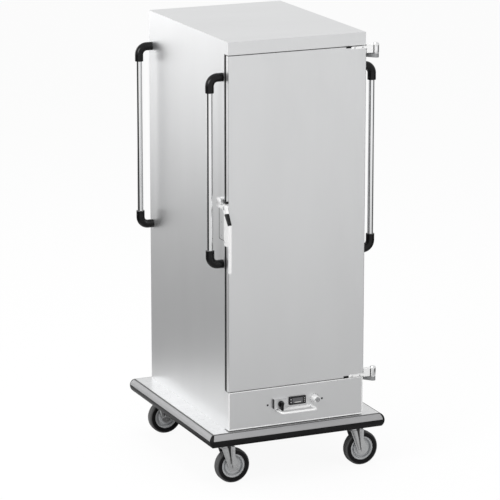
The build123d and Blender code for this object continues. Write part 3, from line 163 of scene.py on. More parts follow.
def finish(
    name, colour, *, metallic=0.0, roughness, grain, spread, bump,
    tone=0.04, patch=even(7), specular=0.5,
):
    """A finish with fine grain in its gloss and relief, and soft patches in its colour."""
    material = bpy.data.materials.new(name)
    material.use_nodes = True
    nodes, links = material.node_tree.nodes, material.node_tree.links
    shader = nodes["Principled BSDF"]
    shader.inputs["Metallic"].default_value = metallic
    shader.inputs["Specular IOR Level"].default_value = specular
    patches = nodes.new("ShaderNodeGroup")
    patches.node_tree = soft_tone
    patches.inputs["Color"].default_value = (*colour, 1)
    patches.inputs["Stretch"].default_value = patch
    patches.inputs["Amount"].default_value = tone
    links.new(patches.outputs["Color"], shader.inputs["Base Color"])
    streaks = nodes.new("ShaderNodeGroup")
    streaks.node_tree = fine_grain
    streaks.inputs["Stretch"].default_value = grain
    streaks.inputs["Low"].default_value = roughness - spread
    streaks.inputs["High"].default_value = roughness + spread
    links.new(streaks.outputs["Value"], shader.inputs["Roughness"])
    relief = nodes.new("ShaderNodeBump")
    relief.inputs["Strength"].default_value = bump
    relief.inputs["Distance"].default_value = RELIEF_DEPTH
    links.new(streaks.outputs["Value"], relief.inputs["Height"])
    links.new(relief.outputs["Normal"], shader.inputs["Normal"])
    return material


def dress(material, *names):
    """Put a finish on CAD nodes."""
    for name in names:
        surface = frame["nodes"][name].data.materials
        surface.clear()
        surface.append(material)


def add_piece(name, form, material, body):
    """Turn a bmesh into a piece that rides on a body."""
    mesh = bpy.data.meshes.new(name)
    form.to_mesh(mesh)
    form.free()
    mesh.materials.append(material)
    mesh.shade_smooth()
    mesh.set_sharp_from_angle(angle=SHARP_EDGE)
    piece = bpy.data.objects.new(name, mesh)
    bpy.context.scene.collection.objects.link(piece)
    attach(piece, body)


def facing(place, direction):
    """The matrix that moves a shape from the origin to a place and turns its +Z to a direction."""
    turned = Vector(direction).to_track_quat("Z", "Y").to_matrix().to_4x4()
    return Matrix.Translation(place) @ turned


def add_disc(form, place, direction, radius, height, segments=DISC_SEGMENTS, top=None):
    """Add a round or many-sided disc that stands on a place along a direction."""
    lift = Matrix.Translation((0, 0, height / 2))
    disc = bmesh.ops.create_cone(
        form,
        cap_ends=True,
        segments=segments,
        radius1=radius,
        radius2=radius if top is None else top,
        depth=height,
        matrix=facing(place, direction) @ lift,
    )
    return disc["verts"]


def joint_place(name):
    """Where a joint's axis is, in metres."""
    return Vector(next(j["pos_m"] for j in frame["joints"] if j["name"] == name))


castor_names = ("front_left", "front_right", "rear_left", "rear_right")
zinc_plate = finish(
    "zinc_plate", ZINC, metallic=1.0, roughness=0.36, grain=even(160), spread=0.06, bump=0.05,
)
dress(zinc_plate, "castor_plates")
plate_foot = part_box("castor_plates")[1].z - CASTOR_PLATE_SHEET
bolt_radius = BOLT_FLATS / 2 / math.cos(math.pi / BOLT_SIDES)
bolts = bmesh.new()
for castor in castor_names:
    swivel = joint_place(f"swivel_{castor}")
    for way_x in (-1, 1):
        for way_y in (-1, 1):
            spot = Vector((
                swivel.x + way_x * BOLT_SPACING_X / 2,
                swivel.y + way_y * BOLT_SPACING_Y / 2,
                plate_foot,
            ))
            add_disc(bolts, spot, DOWN, WASHER_RADIUS, WASHER_SHEET)
            head = spot - Vector((0, 0, WASHER_SHEET))
            add_disc(bolts, head, DOWN, bolt_radius, BOLT_HEIGHT, BOLT_SIDES)
add_piece("castor_bolts", bolts, zinc_plate, "cabinet")

# Castor forks: steel pressings with a raised rib down each leg, zinc plated.
# The crown turns on two races of balls under the top plate, and painted shade
# darkens the crease beside each rib, in a wedge that narrows towards the axle.
FORK_STEEL = (0.66, 0.665, 0.67)
CREASE_PAINTED_SHADE = (0.05, 0.05, 0.051)
CREASE_LEFT = 9.5 * MM
CREASE_LEFT_SLOPE = 0.27
CREASE_RIGHT = 6.5 * MM
CREASE_RIGHT_SLOPE = 0.085
CREASE_FADE = 2.5 * MM
ALL_AXES = (1, 1, 1)


def from_axle(tree, castor, axes):
    """Object coordinates measured from a wheel's axle, along the axes that are one."""
    coords = tree.nodes.new("ShaderNodeTexCoord")
    centred = tree.nodes.new("ShaderNodeMapping")
    axle = joint_place(f"roll_{castor}")
    centred.inputs["Location"].default_value = [-place * axis for place, axis in zip(axle, axes)]
    centred.inputs["Scale"].default_value = axes
    tree.links.new(coords.outputs["Object"], centred.inputs["Vector"])
    return centred.outputs["Vector"]


def lay_colour(tree, colour, mask):
    """Lay a colour over a finish where a mask is one."""
    cover = tree.nodes.new("ShaderNodeMix")
    cover.data_type = "RGBA"
    cover.inputs["B"].default_value = (*colour, 1)
    base = tree.nodes["Principled BSDF"].inputs["Base Color"]
    tree.links.new(base.links[0].from_socket, cover.inputs["A"])
    tree.links.new(mask, cover.inputs["Factor"])
    tree.links.new(cover.outputs["Result"], base)


def make_fork_zinc(castor):
    """Zinc plate with painted shade in the crease, measured from the wheel's axle."""
    zinc = finish(
        f"fork_zinc_{castor}", FORK_STEEL, metallic=0.9, roughness=0.30,
        grain=even(120), spread=0.05, bump=0.05,
    )
    tree = zinc.node_tree
    leg = tree.nodes.new("ShaderNodeSeparateXYZ")
    tree.links.new(from_axle(tree, castor, ALL_AXES), leg.inputs[0])
    across, up = leg.outputs["X"], leg.outputs["Z"]
    left_slant = calc(tree, "MULTIPLY_ADD", up, CREASE_LEFT_SLOPE, across)
    left = calc(tree, "ADD", left_slant, CREASE_LEFT)
    right_slant = calc(tree, "MULTIPLY_ADD", up, CREASE_RIGHT_SLOPE, across)
    right = calc(tree, "ADD", right_slant, CREASE_RIGHT)
    # Painted shade: a dark wedge beside the rib, narrowing towards the axle.
    inside = calc(tree, "MINIMUM", left, calc(tree, "MULTIPLY", right, -1))
    lay_colour(tree, CREASE_PAINTED_SHADE, map_range(tree, inside, 0, CREASE_FADE))
    return zinc


for castor in castor_names:
    dress(make_fork_zinc(castor), f"castor_fork_{castor}")

# Castor wheels: a pale grey moulded hub with a solid rubber tyre on it.
# The hub is dished between its boss and its rim, and the tread is a lighter grey than the
# sidewalls.
HUB_GREY = (0.50, 0.51, 0.52)
TYRE_BLACK = (0.006, 0.006, 0.0065)
TREAD_GREY = (0.095, 0.095, 0.096)
TREAD_START = 66 * MM
TREAD_FULL = 72 * MM
WHEEL_AXES = (1, 0, 1)


def length(tree, vector):
    """The length of a vector socket."""
    node = tree.nodes.new("ShaderNodeVectorMath")
    node.operation = "LENGTH"
    tree.links.new(vector, node.inputs[0])
    return node.outputs["Value"]


def make_tyre_rubber(castor):
    """Black rubber with a lighter grey tread band, measured from the wheel's axle."""
    rubber = finish(
        f"tyre_rubber_{castor}", TYRE_BLACK, roughness=0.50, grain=even(400), spread=0.08,
        bump=0.15, tone=0.35, patch=even(30), specular=0.18,
    )
    tree = rubber.node_tree
    radius = length(tree, from_axle(tree, castor, WHEEL_AXES))
    lay_colour(tree, TREAD_GREY, map_range(tree, radius, TREAD_START, TREAD_FULL))
    return rubber


hub_plastic = finish(
    "hub_plastic", HUB_GREY, roughness=0.42, grain=even(300), spread=0.06, bump=0.05,
)
for castor in castor_names:
    dress(hub_plastic, f"wheel_hub_{castor}")
    dress(make_tyre_rubber(castor), f"tyre_{castor}")

# Chassis: rectangular steel tubes welded into a ladder under the deck.
# They are zinc plated like the castors.
dress(zinc_plate, "chassis_frame")

# Deck: one folded pan of satin stainless steel that the cabinet stands on.
# Its skirt is hidden behind the bumper.
STEEL = (0.77, 0.775, 0.78)
deck_steel = finish(
    "deck_steel", STEEL, metallic=0.85, roughness=0.30, grain=(12, 500, 500),
    spread=0.05, bump=0.03, patch=(2, 9, 9),
)
dress(deck_steel, "deck_plate")

# Bumper: an extruded rubber section round the deck with a pale grey nosing
# let into its upper half; black moulded pieces turn the corners. A grey lip
# seals the bumper against the deck's edge, and its dark grey is painted shade.
NOSING_GREY = (0.34, 0.34, 0.345)
BUMPER_BLACK = (0.007, 0.007, 0.0075)
LIP_SHADE_GREY = (0.14, 0.14, 0.142)
LIP_WIDTH = 5 * MM
LIP_HEIGHT = 2.2 * MM


def raise_faces(form, faces, rise):
    """Extrude faces along a vector."""
    raised = bmesh.ops.extrude_face_region(form, geom=faces)["geom"]
    verts = [part for part in raised if isinstance(part, bmesh.types.BMVert)]
    bmesh.ops.translate(form, vec=rise, verts=verts)


def add_frame(form, matrix, wide, tall, rim, rise):
    """Add a flat frame from its place, outer size, width of rim, and thickness as a vector."""
    corners = bmesh.ops.create_grid(form, x_segments=1, y_segments=1, size=0.5)["verts"]
    bmesh.ops.scale(form, vec=(wide, tall, 1), verts=corners)
    bmesh.ops.transform(form, matrix=matrix, verts=corners)
    inner = list(corners[0].link_faces)
    faces = bmesh.ops.inset_individual(form, faces=inner, thickness=rim)["faces"]
    bmesh.ops.delete(form, geom=inner, context="FACES")
    raise_faces(form, faces, rise)


nosing_plastic = finish(
    "nosing_plastic", NOSING_GREY, roughness=0.40, grain=even(250), spread=0.05,
    bump=0.04, specular=0.35,
)
bumper_rubber = finish(
    "bumper_rubber", BUMPER_BLACK, roughness=0.45, grain=even(350), spread=0.06,
    bump=0.10, tone=0.25, patch=even(20), specular=0.18,
)
# The lip is a real seal; its dark grey is painted shade along the deck's edge.
lip_rubber_and_shade = finish(
    "lip_rubber_and_shade", LIP_SHADE_GREY, roughness=0.5, grain=even(350), spread=0.06, bump=0.08, specular=0.3,
)
dress(nosing_plastic, "bumper_nosing")
dress(bumper_rubber, "bumper_rubber")
deck_low, deck_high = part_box("deck_plate")
lip_size = deck_high - deck_low + Vector((2 * LIP_WIDTH, 2 * LIP_WIDTH, 0))
lip_place = (deck_low + deck_high) / 2
lip_place.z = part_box("bumper_rubber")[1].z
lip = bmesh.new()
add_frame(
    lip, Matrix.Translation(lip_place), lip_size.x, lip_size.y, LIP_WIDTH, (0, 0, LIP_HEIGHT),
)
bmesh.ops.recalc_face_normals(lip, faces=lip.faces)
add_piece("bumper_lip_and_shade", lip, lip_rubber_and_shade, "cabinet")

# Cabinet panels: brushed stainless sheet, with the brush lines upright on the
# sides and back and along the roof. The roof folds down into the fascia, and
# screws hold the back panel round its edge.
BACK = (0, 1, 0)
SCREW_STEEL = (0.55, 0.555, 0.56)
SCREW_SEGMENTS = 20
SCREW_TAPER = 0.8
SOCKET_RIM = 0.35
SOCKET_DRAFT = 0.05
SOCKET_DEPTH = 0.6
PANEL_SCREW_RADIUS = 4.5 * MM
PANEL_SCREW_HEIGHT = 2.2 * MM
PANEL_SCREW_INSET = 13 * MM
PANEL_SCREW_COLUMN = 9
PANEL_SCREW_ROW = 4


def add_screw(form, place, direction, radius, height):
    """Add a low round screw head with a socket sunk in it."""
    top = radius * SCREW_TAPER
    head = add_disc(form, place, direction, radius, height, SCREW_SEGMENTS, top)
    faces = {face for vertex in head for face in vertex.link_faces}
    crown = max(faces, key=lambda face: face.calc_center_median().dot(Vector(direction)))
    bmesh.ops.inset_individual(form, faces=[crown], thickness=radius * SOCKET_RIM)
    draft, depth = radius * SOCKET_DRAFT, height * SOCKET_DEPTH
    bmesh.ops.inset_individual(form, faces=[crown], thickness=draft, depth=-depth)


panel_steel = finish(
    "panel_steel", STEEL, metallic=0.9, roughness=0.36, grain=(500, 500, 9),
    spread=0.05, bump=0.03, tone=0.02, patch=(5, 5, 1.5),
)
roof_steel = finish(
    "roof_steel", STEEL, metallic=0.9, roughness=0.36, grain=(9, 500, 500),
    spread=0.05, bump=0.03, tone=0.02, patch=(1.5, 5, 5),
)
screw_steel = finish(
    "screw_steel", SCREW_STEEL, metallic=0.9, roughness=0.34, grain=even(300),
    spread=0.05, bump=0.04,
)
dress(panel_steel, "side_panel_left", "side_panel_right", "back_panel")
dress(roof_steel, "roof_panel")
back_low, back_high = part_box("back_panel")
screw_low = back_low + Vector((PANEL_SCREW_INSET, 0, 2 * PANEL_SCREW_INSET))
screw_high = back_high - Vector((PANEL_SCREW_INSET, 0, PANEL_SCREW_INSET))
screw_spots = []
for step in range(PANEL_SCREW_COLUMN):
    level = screw_low.z + (screw_high.z - screw_low.z) * step / (PANEL_SCREW_COLUMN - 1)
    screw_spots += [(across, back_high.y, level) for across in (screw_low.x, screw_high.x)]
for step in range(1, PANEL_SCREW_ROW):
    across = screw_low.x + (screw_high.x - screw_low.x) * step / PANEL_SCREW_ROW
    screw_spots += [(across, back_high.y, level) for level in (screw_low.z, screw_high.z)]
back_screws = bmesh.new()
for spot in screw_spots:
    add_screw(back_screws, spot, BACK, PANEL_SCREW_RADIUS, PANEL_SCREW_HEIGHT)
add_piece("back_screws", back_screws, screw_steel, "cabinet")

# Front frame and wool: pale channels round the mouth, which break the path of
# heat from the liner to the outer skin, and mineral wool slabs behind them.
CHANNEL_GREY = (0.55, 0.56, 0.57)
WOOL = (0.62, 0.50, 0.22)
frame_channel = finish(
    "frame_channel", CHANNEL_GREY, metallic=0.9, roughness=0.45, grain=even(220),
    spread=0.05, bump=0.04,
)
mineral_wool = finish(
    "mineral_wool", WOOL, roughness=0.95, grain=even(180), spread=0.04, bump=0.60,
    tone=0.25, patch=even(40),
)
dress(frame_channel, "front_frame")
dress(mineral_wool, "insulation", "door_insulation")

# Cavity: a seamless stainless liner with a slotted floor grille, and a rack of
# slotted uprights that carry folded runners for the trays.
liner_steel = finish(
    "liner_steel", STEEL, metallic=0.9, roughness=0.30, grain=(400, 400, 10),
    spread=0.05, bump=0.02,
)
dress(liner_steel, "cavity_liner", "floor_grille")
dress(liner_steel, "rack_uprights", "runners_left", "runners_right")

# Door: a folded stainless pan round a wool core, closed by an inner sheet.
# A dark bulb gasket in the inner sheet seals on the front frame, and its flap
# closes the joint all round and laps over the pan's edge.
FRONT = (0, -1, 0)
GASKET_BLACK = (0.006, 0.006, 0.0063)
FLAP_INSET = 1.2 * MM
FLAP_WIDTH = 6 * MM
FLAP_PLAY = 0.4 * MM
FLAP_LAP = 4 * MM
LAP_SHEET = 0.3 * MM
gasket_rubber = finish(
    "gasket_rubber", GASKET_BLACK, roughness=0.60, grain=even(400), spread=0.06,
    bump=0.10, specular=0.2,
)
dress(panel_steel, "door_skin")
dress(liner_steel, "door_liner")
dress(gasket_rubber, "door_gasket")
door_low, door_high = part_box("door_skin")
door_middle = (door_low + door_high) / 2
door_size = door_high - door_low
flap_front = door_high.y + FLAP_PLAY
flap_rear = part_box("door_gasket")[1].y - FLAP_PLAY
flap = bmesh.new()
for inset, rim, front, rear in (
    (FLAP_INSET, FLAP_WIDTH, flap_front, flap_rear),
    (-LAP_SHEET, LAP_SHEET, door_high.y - FLAP_LAP, flap_front),
):
    upright = facing((door_middle.x, front, door_middle.z), FRONT)
    wide, tall = door_size.x - 2 * inset, door_size.z - 2 * inset
    add_frame(flap, upright, wide, tall, rim, (0, rear - front, 0))
bmesh.ops.recalc_face_normals(flap, faces=flap.faces)
add_piece("door_flap", flap, gasket_rubber, "door")

# Hinges: bright straps and knuckles on the door, on pins in die-cast brackets that
# are screwed to the cabinet's right side. A polished sleeve covers each barrel, and
# rubber seals each strap's end and the joint beside the barrel.
UP = (0, 0, 1)
RIGHT = (1, 0, 0)
Z_AXIS = 2
LEVEL_PLAY = 1e-6
CHROME = (0.86, 0.865, 0.87)
BRIGHT = (0.93, 0.93, 0.93)
CAST_GREY = (0.34, 0.345, 0.35)
KNUCKLE_RISE = 40 * MM
SLEEVE_RADIUS = 13.4 * MM
SLEEVE_HEIGHT = 38.5 * MM
SLEEVE_LIFT = 1 * MM
SLEEVE_EDGE = 4 * MM
SLEEVE_SEGMENTS = 48
SLEEVE_ROUNDING = 4
STRAP_INSET = 5 * MM
STRAP_SCREWS = (16 * MM, 52 * MM)
STRAP_SCREW_RADIUS = 3.4 * MM
STRAP_SCREW_HEIGHT = 1.2 * MM
STRAP_TIP = Vector((22 * MM, 2.6 * MM, 7 * MM))
LOW_TIP_INSET = 4 * MM
HIGH_TIP_INSET = 1.5 * MM
BARREL_SEAL = Vector((4 * MM, 1 * MM, 34 * MM))
BRACKET_SHEET = 4 * MM
BRACKET_INSET = 30 * MM
BRACKET_SCREW_BACKS = (12 * MM, 38 * MM)
BRACKET_SCREW_RISES = (-18 * MM, 18 * MM)
BRACKET_SCREW_RADIUS = 5 * MM
BRACKET_SCREW_HEIGHT = 2.4 * MM
PLATE_EDGE = 0.5 * MM


def soften(form, edges, offset, segments=2):
    """Round edges off."""
    bmesh.ops.bevel(
        form, geom=edges, offset=offset, affect="EDGES", segments=segments,
        profile=0.5, material=-1,
    )


def edges_of(form, verts):
    """The edges of one shape in a bmesh, from its vertices."""
    chosen = set(verts)
    return [edge for edge in form.edges if edge.verts[0] in chosen]


def level_edges(edges, axis):
    """The edges that stay at one level along an axis."""
    return [
        edge for edge in edges
        if abs(edge.verts[0].co[axis] - edge.verts[1].co[axis]) < LEVEL_PLAY
    ]


def add_block(form, centre, size):
    """Add a square-edged block from its middle and size."""
    verts = bmesh.ops.create_cube(form, size=1)["verts"]
    bmesh.ops.scale(form, vec=size, verts=verts)
    bmesh.ops.translate(form, vec=centre, verts=verts)
    return verts


def add_plate(form, centre, size, edge=PLATE_EDGE):
    """Add a small plate with softened edges, from its middle and size."""
    verts = add_block(form, centre, size)
    soften(form, edges_of(form, verts), edge)


polished = finish(
    "polished", CHROME, metallic=1.0, roughness=0.09, grain=even(90), spread=0.02,
    bump=0.01, tone=0.02,
)
bright_steel = finish(
    "bright_steel", BRIGHT, metallic=0.3, roughness=0.24, grain=even(140), spread=0.04,
    bump=0.02, tone=0.02,
)
die_cast = finish(
    "die_cast", CAST_GREY, metallic=0.6, roughness=0.46, grain=even(300), spread=0.06, bump=0.10,
)
dress(bright_steel, "hinge_straps")
dress(polished, "hinge_pins")
dress(die_cast, "hinge_brackets")
door_pivot = joint_place("door_hinge")
strap_low, strap_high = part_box("hinge_straps")
bracket_low, bracket_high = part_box("hinge_brackets")
seal_x = door_pivot.x - SLEEVE_RADIUS - BARREL_SEAL.x / 2
seal_y = strap_low.y - BARREL_SEAL.y / 2
low_hinge = (
    strap_low.z,
    door_low.z + STRAP_INSET,
    door_low.z + LOW_TIP_INSET,
    bracket_low.z + BRACKET_INSET,
)
high_hinge = (
    strap_high.z - KNUCKLE_RISE,
    door_high.z - STRAP_INSET,
    door_high.z - HIGH_TIP_INSET,
    bracket_high.z - BRACKET_INSET,
)
sleeves = bmesh.new()
strap_tips = bmesh.new()
strap_screws = bmesh.new()
bracket_screws = bmesh.new()
for knuckle_low, strap_level, tip_level, plate_level in (low_hinge, high_hinge):
    foot = (door_pivot.x, door_pivot.y, knuckle_low + SLEEVE_LIFT)
    barrel = add_disc(sleeves, foot, UP, SLEEVE_RADIUS, SLEEVE_HEIGHT, SLEEVE_SEGMENTS)
    rims = level_edges(edges_of(sleeves, barrel), Z_AXIS)
    soften(sleeves, rims, SLEEVE_EDGE, SLEEVE_ROUNDING)
    tip_x, tip_y = strap_low.x - STRAP_TIP.x / 2, door_low.y - STRAP_TIP.y / 2
    add_plate(strap_tips, (tip_x, tip_y, tip_level), STRAP_TIP)
    add_plate(strap_tips, (seal_x, seal_y, knuckle_low + KNUCKLE_RISE / 2), BARREL_SEAL)
    for across in STRAP_SCREWS:
        spot = (strap_low.x + across, strap_low.y, strap_level)
        add_screw(strap_screws, spot, FRONT, STRAP_SCREW_RADIUS, STRAP_SCREW_HEIGHT)
    for back in BRACKET_SCREW_BACKS:
        for rise in BRACKET_SCREW_RISES:
            spot = (bracket_low.x + BRACKET_SHEET, bracket_high.y - back, plate_level + rise)
            add_screw(bracket_screws, spot, RIGHT, BRACKET_SCREW_RADIUS, BRACKET_SCREW_HEIGHT)
add_piece("hinge_sleeves", sleeves, polished, "door")
add_piece("strap_tips", strap_tips, gasket_rubber, "door")
add_piece("strap_screws", strap_screws, screw_steel, "door")
add_piece("bracket_screws", bracket_screws, screw_steel, "cabinet")

# Latch: a bright lever with a long hanging grip, on a plate on the door's edge; a
# black cover on its arm is painted shade. Its nose catches under a hooked strike on
# the side, which has a bright cap on its hook and a black bead round its plate.
LEFT = (-1, 0, 0)
X_AXIS = 0
PLASTIC_AND_SHADE_BLACK = (0.010, 0.010, 0.011)
ARM_FRONT = 17 * MM
ARM_REAR = 8.5 * MM
ARM_DROP = 60 * MM
ARM_REAR_DROP = 65.5 * MM
ARM_THICK = 11 * MM
ARM_SHADE_START = 0.30
ARM_SHADE_PROUD = 0.8 * MM
ARM_SHADE_GAP = 0.2 * MM
ARM_SHADE_GROWTH = (1, 1.10, 1.04)
ARM_SHADE_EDGE = 0.8 * MM
BEAD_WIDTH = 2.2 * MM
BEAD_HEIGHT = 3 * MM
REAR_BEAD = 2.6 * MM
HOOK_GAP = 7.5 * MM
HOOK_CAP_SHEET = 1 * MM
HOOK_CAP_MARGIN = 3 * MM
HOOK_CAP_EDGE = 0.3 * MM
STUD_RADIUS = 5.5 * MM
STUD_LENGTH = 11 * MM
STUD_FORWARD = 5.5 * MM
STUD_RISE = 23.5 * MM
STUD_EDGE = 1 * MM
STUD_SEGMENTS = 32
STUD_ROUNDING = 3
STRIKE_SHEET = 3 * MM
PLATE_SCREW_RISES = (16 * MM, 74 * MM)
PLATE_SCREW_INSET = 10 * MM
PLATE_SCREW_RADIUS = 4 * MM
PLATE_SCREW_HEIGHT = 0.8 * MM
# Black plastic for the strike's bead and the stud, and painted shade on the lever's arm.
black_plastic_and_shade = finish(
    "black_plastic_and_shade", PLASTIC_AND_SHADE_BLACK, roughness=0.38, grain=even(350), spread=0.05,
    bump=0.06, specular=0.25,
)
dress(bright_steel, "latch_lever", "latch_plate")
dress(panel_steel, "strike")
dress(polished, "latch_pin")
latch_turn = joint_place("latch_turn")
lever_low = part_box("latch_lever")[0]
plate_low, plate_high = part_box("latch_plate")
strike_low, strike_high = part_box("strike")
side_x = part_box("side_panel_left")[0].x
front_top = Vector((0, latch_turn.y - ARM_FRONT, latch_turn.z))
front_foot = Vector((0, lever_low.y, latch_turn.z - ARM_DROP))
rear_top = Vector((0, latch_turn.y + ARM_REAR, latch_turn.z - ARM_REAR))
rear_foot = Vector((0, lever_low.y + ARM_THICK, latch_turn.z - ARM_REAR_DROP))
corners = (
    front_top.lerp(front_foot, ARM_SHADE_START),
    front_foot,
    rear_foot,
    rear_top.lerp(rear_foot, ARM_SHADE_START),
)
# Painted shade: a black cover over the lower part of the lever's arm.
arm_shade = bmesh.new()
inner_side = Vector((plate_low.x - ARM_SHADE_GAP, 0, 0))
side = arm_shade.faces.new([arm_shade.verts.new(corner + inner_side) for corner in corners])
arm_shade_depth = lever_low.x - ARM_SHADE_PROUD - plate_low.x
raise_faces(arm_shade, [side], (arm_shade_depth, 0, 0))
arm_middle = sum(corners, Vector()) / len(corners)
from_arm = Matrix.Translation(-arm_middle)
bmesh.ops.scale(arm_shade, vec=ARM_SHADE_GROWTH, space=from_arm, verts=arm_shade.verts)
soften(arm_shade, arm_shade.edges[:], ARM_SHADE_EDGE)
bmesh.ops.recalc_face_normals(arm_shade, faces=arm_shade.faces)
add_piece("latch_arm_shade", arm_shade, black_plastic_and_shade, "latch_lever")
strike_bead = bmesh.new()
strike_middle = (strike_low + strike_high) / 2
bead_rise = latch_turn.z - HOOK_GAP - strike_low.z
bead_level = strike_low.z + bead_rise / 2
strike_wide = strike_high.y - strike_low.y
bead_place = facing((side_x, strike_middle.y, bead_level), LEFT)
bead_wide, bead_tall = strike_wide + 2 * BEAD_WIDTH, bead_rise + 2 * BEAD_WIDTH
add_frame(strike_bead, bead_place, bead_wide, bead_tall, BEAD_WIDTH, (-BEAD_HEIGHT, 0, 0))
rear_y = strike_high.y + BEAD_WIDTH + REAR_BEAD / 2
rear_bead = (side_x - BEAD_HEIGHT / 2, rear_y, bead_level)
add_plate(strike_bead, rear_bead, (BEAD_HEIGHT, REAR_BEAD, bead_rise))
bmesh.ops.recalc_face_normals(strike_bead, faces=strike_bead.faces)
add_piece("strike_bead", strike_bead, black_plastic_and_shade, "cabinet")
hook_cap = bmesh.new()
hook_tall = strike_high.z - latch_turn.z - HOOK_GAP
cap_size = (HOOK_CAP_SHEET, strike_wide - HOOK_CAP_MARGIN, hook_tall - HOOK_CAP_MARGIN)
cap_x = strike_low.x - HOOK_CAP_SHEET / 2
cap_place = (cap_x, strike_middle.y, strike_high.z - hook_tall / 2)
add_plate(hook_cap, cap_place, cap_size, HOOK_CAP_EDGE)
add_piece("hook_cap", hook_cap, bright_steel, "cabinet")
stud = bmesh.new()
stud_place = (side_x, latch_turn.y - STUD_FORWARD, latch_turn.z + STUD_RISE)
add_disc(stud, stud_place, LEFT, STUD_RADIUS, STUD_LENGTH, STUD_SEGMENTS)
soften(stud, level_edges(stud.edges, X_AXIS), STUD_EDGE, STUD_ROUNDING)
add_piece("latch_stud", stud, black_plastic_and_shade, "door")
strike_screws = bmesh.new()
plate_screws = bmesh.new()
for rise in PLATE_SCREW_RISES:
    spot = (strike_high.x - STRIKE_SHEET, strike_middle.y, strike_low.z + rise)
    add_screw(strike_screws, spot, LEFT, PLATE_SCREW_RADIUS, PLATE_SCREW_HEIGHT)
    spot = (plate_low.x, plate_high.y - PLATE_SCREW_INSET, plate_low.z + rise)
    add_screw(plate_screws, spot, LEFT, PLATE_SCREW_RADIUS, PLATE_SCREW_HEIGHT)
add_piece("strike_screws", strike_screws, screw_steel, "cabinet")
add_piece("plate_screws", plate_screws, screw_steel, "door")

# Push handles: chromed steel tubes seated in black moulded elbows, which are
# screwed to the sides from inside.
ELBOW_BLACK = (0.005, 0.005, 0.0053)
elbow_plastic = finish(
    "elbow_plastic", ELBOW_BLACK, roughness=0.24, grain=even(350), spread=0.04,
    bump=0.06, tone=0.2, patch=even(25), specular=0.25,
)
dress(polished, "handle_tubes_left", "handle_tubes_right")
dress(elbow_plastic, "handle_elbows_left", "handle_elbows_right")

# Cable gland: a black nylon gland with a hexagon and a domed cap, through the
# back panel near the deck.
dress(elbow_plastic, "cable_gland")

# Heating module: a stainless front pan with a rolled hem, and its tray, rails,
# control box and heater brackets of plain zinc-plated sheet. The hem's bright finish
# is a painted highlight along the module's edges. Two dark screws hold the front to the tray.
DARK_SCREW = (0.03, 0.03, 0.032)
HEM_RADIUS = 2.4 * MM
HEM_SEGMENTS = 20
MODULE_SCREWS = (-132 * MM, 119 * MM)
MODULE_SCREW_LEVEL = 335 * MM
MODULE_SCREW_RADIUS = 4.6 * MM
MODULE_SCREW_HEIGHT = 1.8 * MM
dark_screw = finish(
    "dark_screw", DARK_SCREW, metallic=0.6, roughness=0.42, grain=even(300),
    spread=0.05, bump=0.05,
)
dress(panel_steel, "module_front")
dress(zinc_plate, "module_tray", "module_rails", "control_box", "heater_brackets")
module_low, module_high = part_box("module_front")
face_y = module_low.y
hem_left, hem_right = module_low.x + HEM_RADIUS, module_high.x - HEM_RADIUS
hem_foot, hem_top = module_low.z + HEM_RADIUS, module_high.z - HEM_RADIUS
hem_corners = (
    Vector((hem_left, face_y, hem_foot)),
    Vector((hem_right, face_y, hem_foot)),
    Vector((hem_right, face_y, hem_top)),
    Vector((hem_left, face_y, hem_top)),
)
# The hem is real; its bright finish, lighter than the pan's steel, is a painted highlight.
hem = bmesh.new()
for start, end in zip(hem_corners, hem_corners[1:] + hem_corners[:1]):
    run = end - start
    add_disc(hem, start, run, HEM_RADIUS, run.length, HEM_SEGMENTS)
    bmesh.ops.create_uvsphere(
        hem, u_segments=HEM_SEGMENTS, v_segments=HEM_SEGMENTS // 2, radius=HEM_RADIUS,
        matrix=Matrix.Translation(start),
    )
add_piece("module_hem_and_highlight", hem, bright_steel, "heating_module")
module_screws = bmesh.new()
for across in MODULE_SCREWS:
    spot = (across, face_y, MODULE_SCREW_LEVEL)
    add_screw(module_screws, spot, FRONT, MODULE_SCREW_RADIUS, MODULE_SCREW_HEIGHT)
add_piece("module_screws", module_screws, dark_screw, "heating_module")

# Controls: a black controller with a dark window, two keys and small lamps, a
# black bar knob on a raised switch box with a steel face, a bright regulator
# knob in a ring of marks, and a bent pull handle in two collars on a base plate.
# A grey disc on the knob's face is painted shade, and the plate's bright finish
# is a painted reflection of the handle's bar.
CONTROL_BLACK = (0.008, 0.008, 0.009)
WINDOW_DARK = (0.11, 0.11, 0.115)
KEY_GREY = (0.42, 0.42, 0.43)
LAMP_PALE = (0.62, 0.62, 0.60)
SWITCH_SHEET = 0.6 * MM
SWITCH_HOLE = 14.2 * MM
SWITCH_HOLE_SEGMENTS = 48
SWITCH_MARGIN = 1 * MM
SWITCH_MARKS = (90, 180)
SWITCH_MARK_GAP = 1 * MM
SQUARE_SIDES = 4
SQUARE_RADIUS = math.sqrt(0.5)
MARK_WIDTH = 1 * MM
MARK_LENGTH = 4 * MM
MARK_HEIGHT = 0.3 * MM
REGULATOR_MARKS = 10
REGULATOR_SWEEP = 270
REGULATOR_RING = 18 * MM
KNOB_SHADE_SHARE = 0.72
KNOB_SHADE_HEIGHT = 1 * MM
LAMP_RADIUS = 1.7 * MM
LAMP_HEIGHT = 0.8 * MM
LAMP_TAPER = 0.6
LAMP_SEGMENTS = 20
LAMP_LEVELS = (-8 * MM, 0, 8 * MM)
WINDOW_STRIP = (30 * MM, 0.4 * MM, 3 * MM)
WINDOW_STRIP_RISE = 4 * MM
PULL_ROD_RADIUS = 5 * MM
COLLAR_RADIUS = 8.5 * MM
COLLAR_HEIGHT = 3 * MM
COLLAR_TAPER = 0.85
COLLAR_SEGMENTS = 32
PULL_PLATE_SHEET = 1.2 * MM
PULL_PLATE_HEIGHT = 11 * MM
control_plastic = finish(
    "control_plastic", CONTROL_BLACK, roughness=0.42, grain=even(500), spread=0.05,
    bump=0.06, tone=0.1, specular=0.3,
)
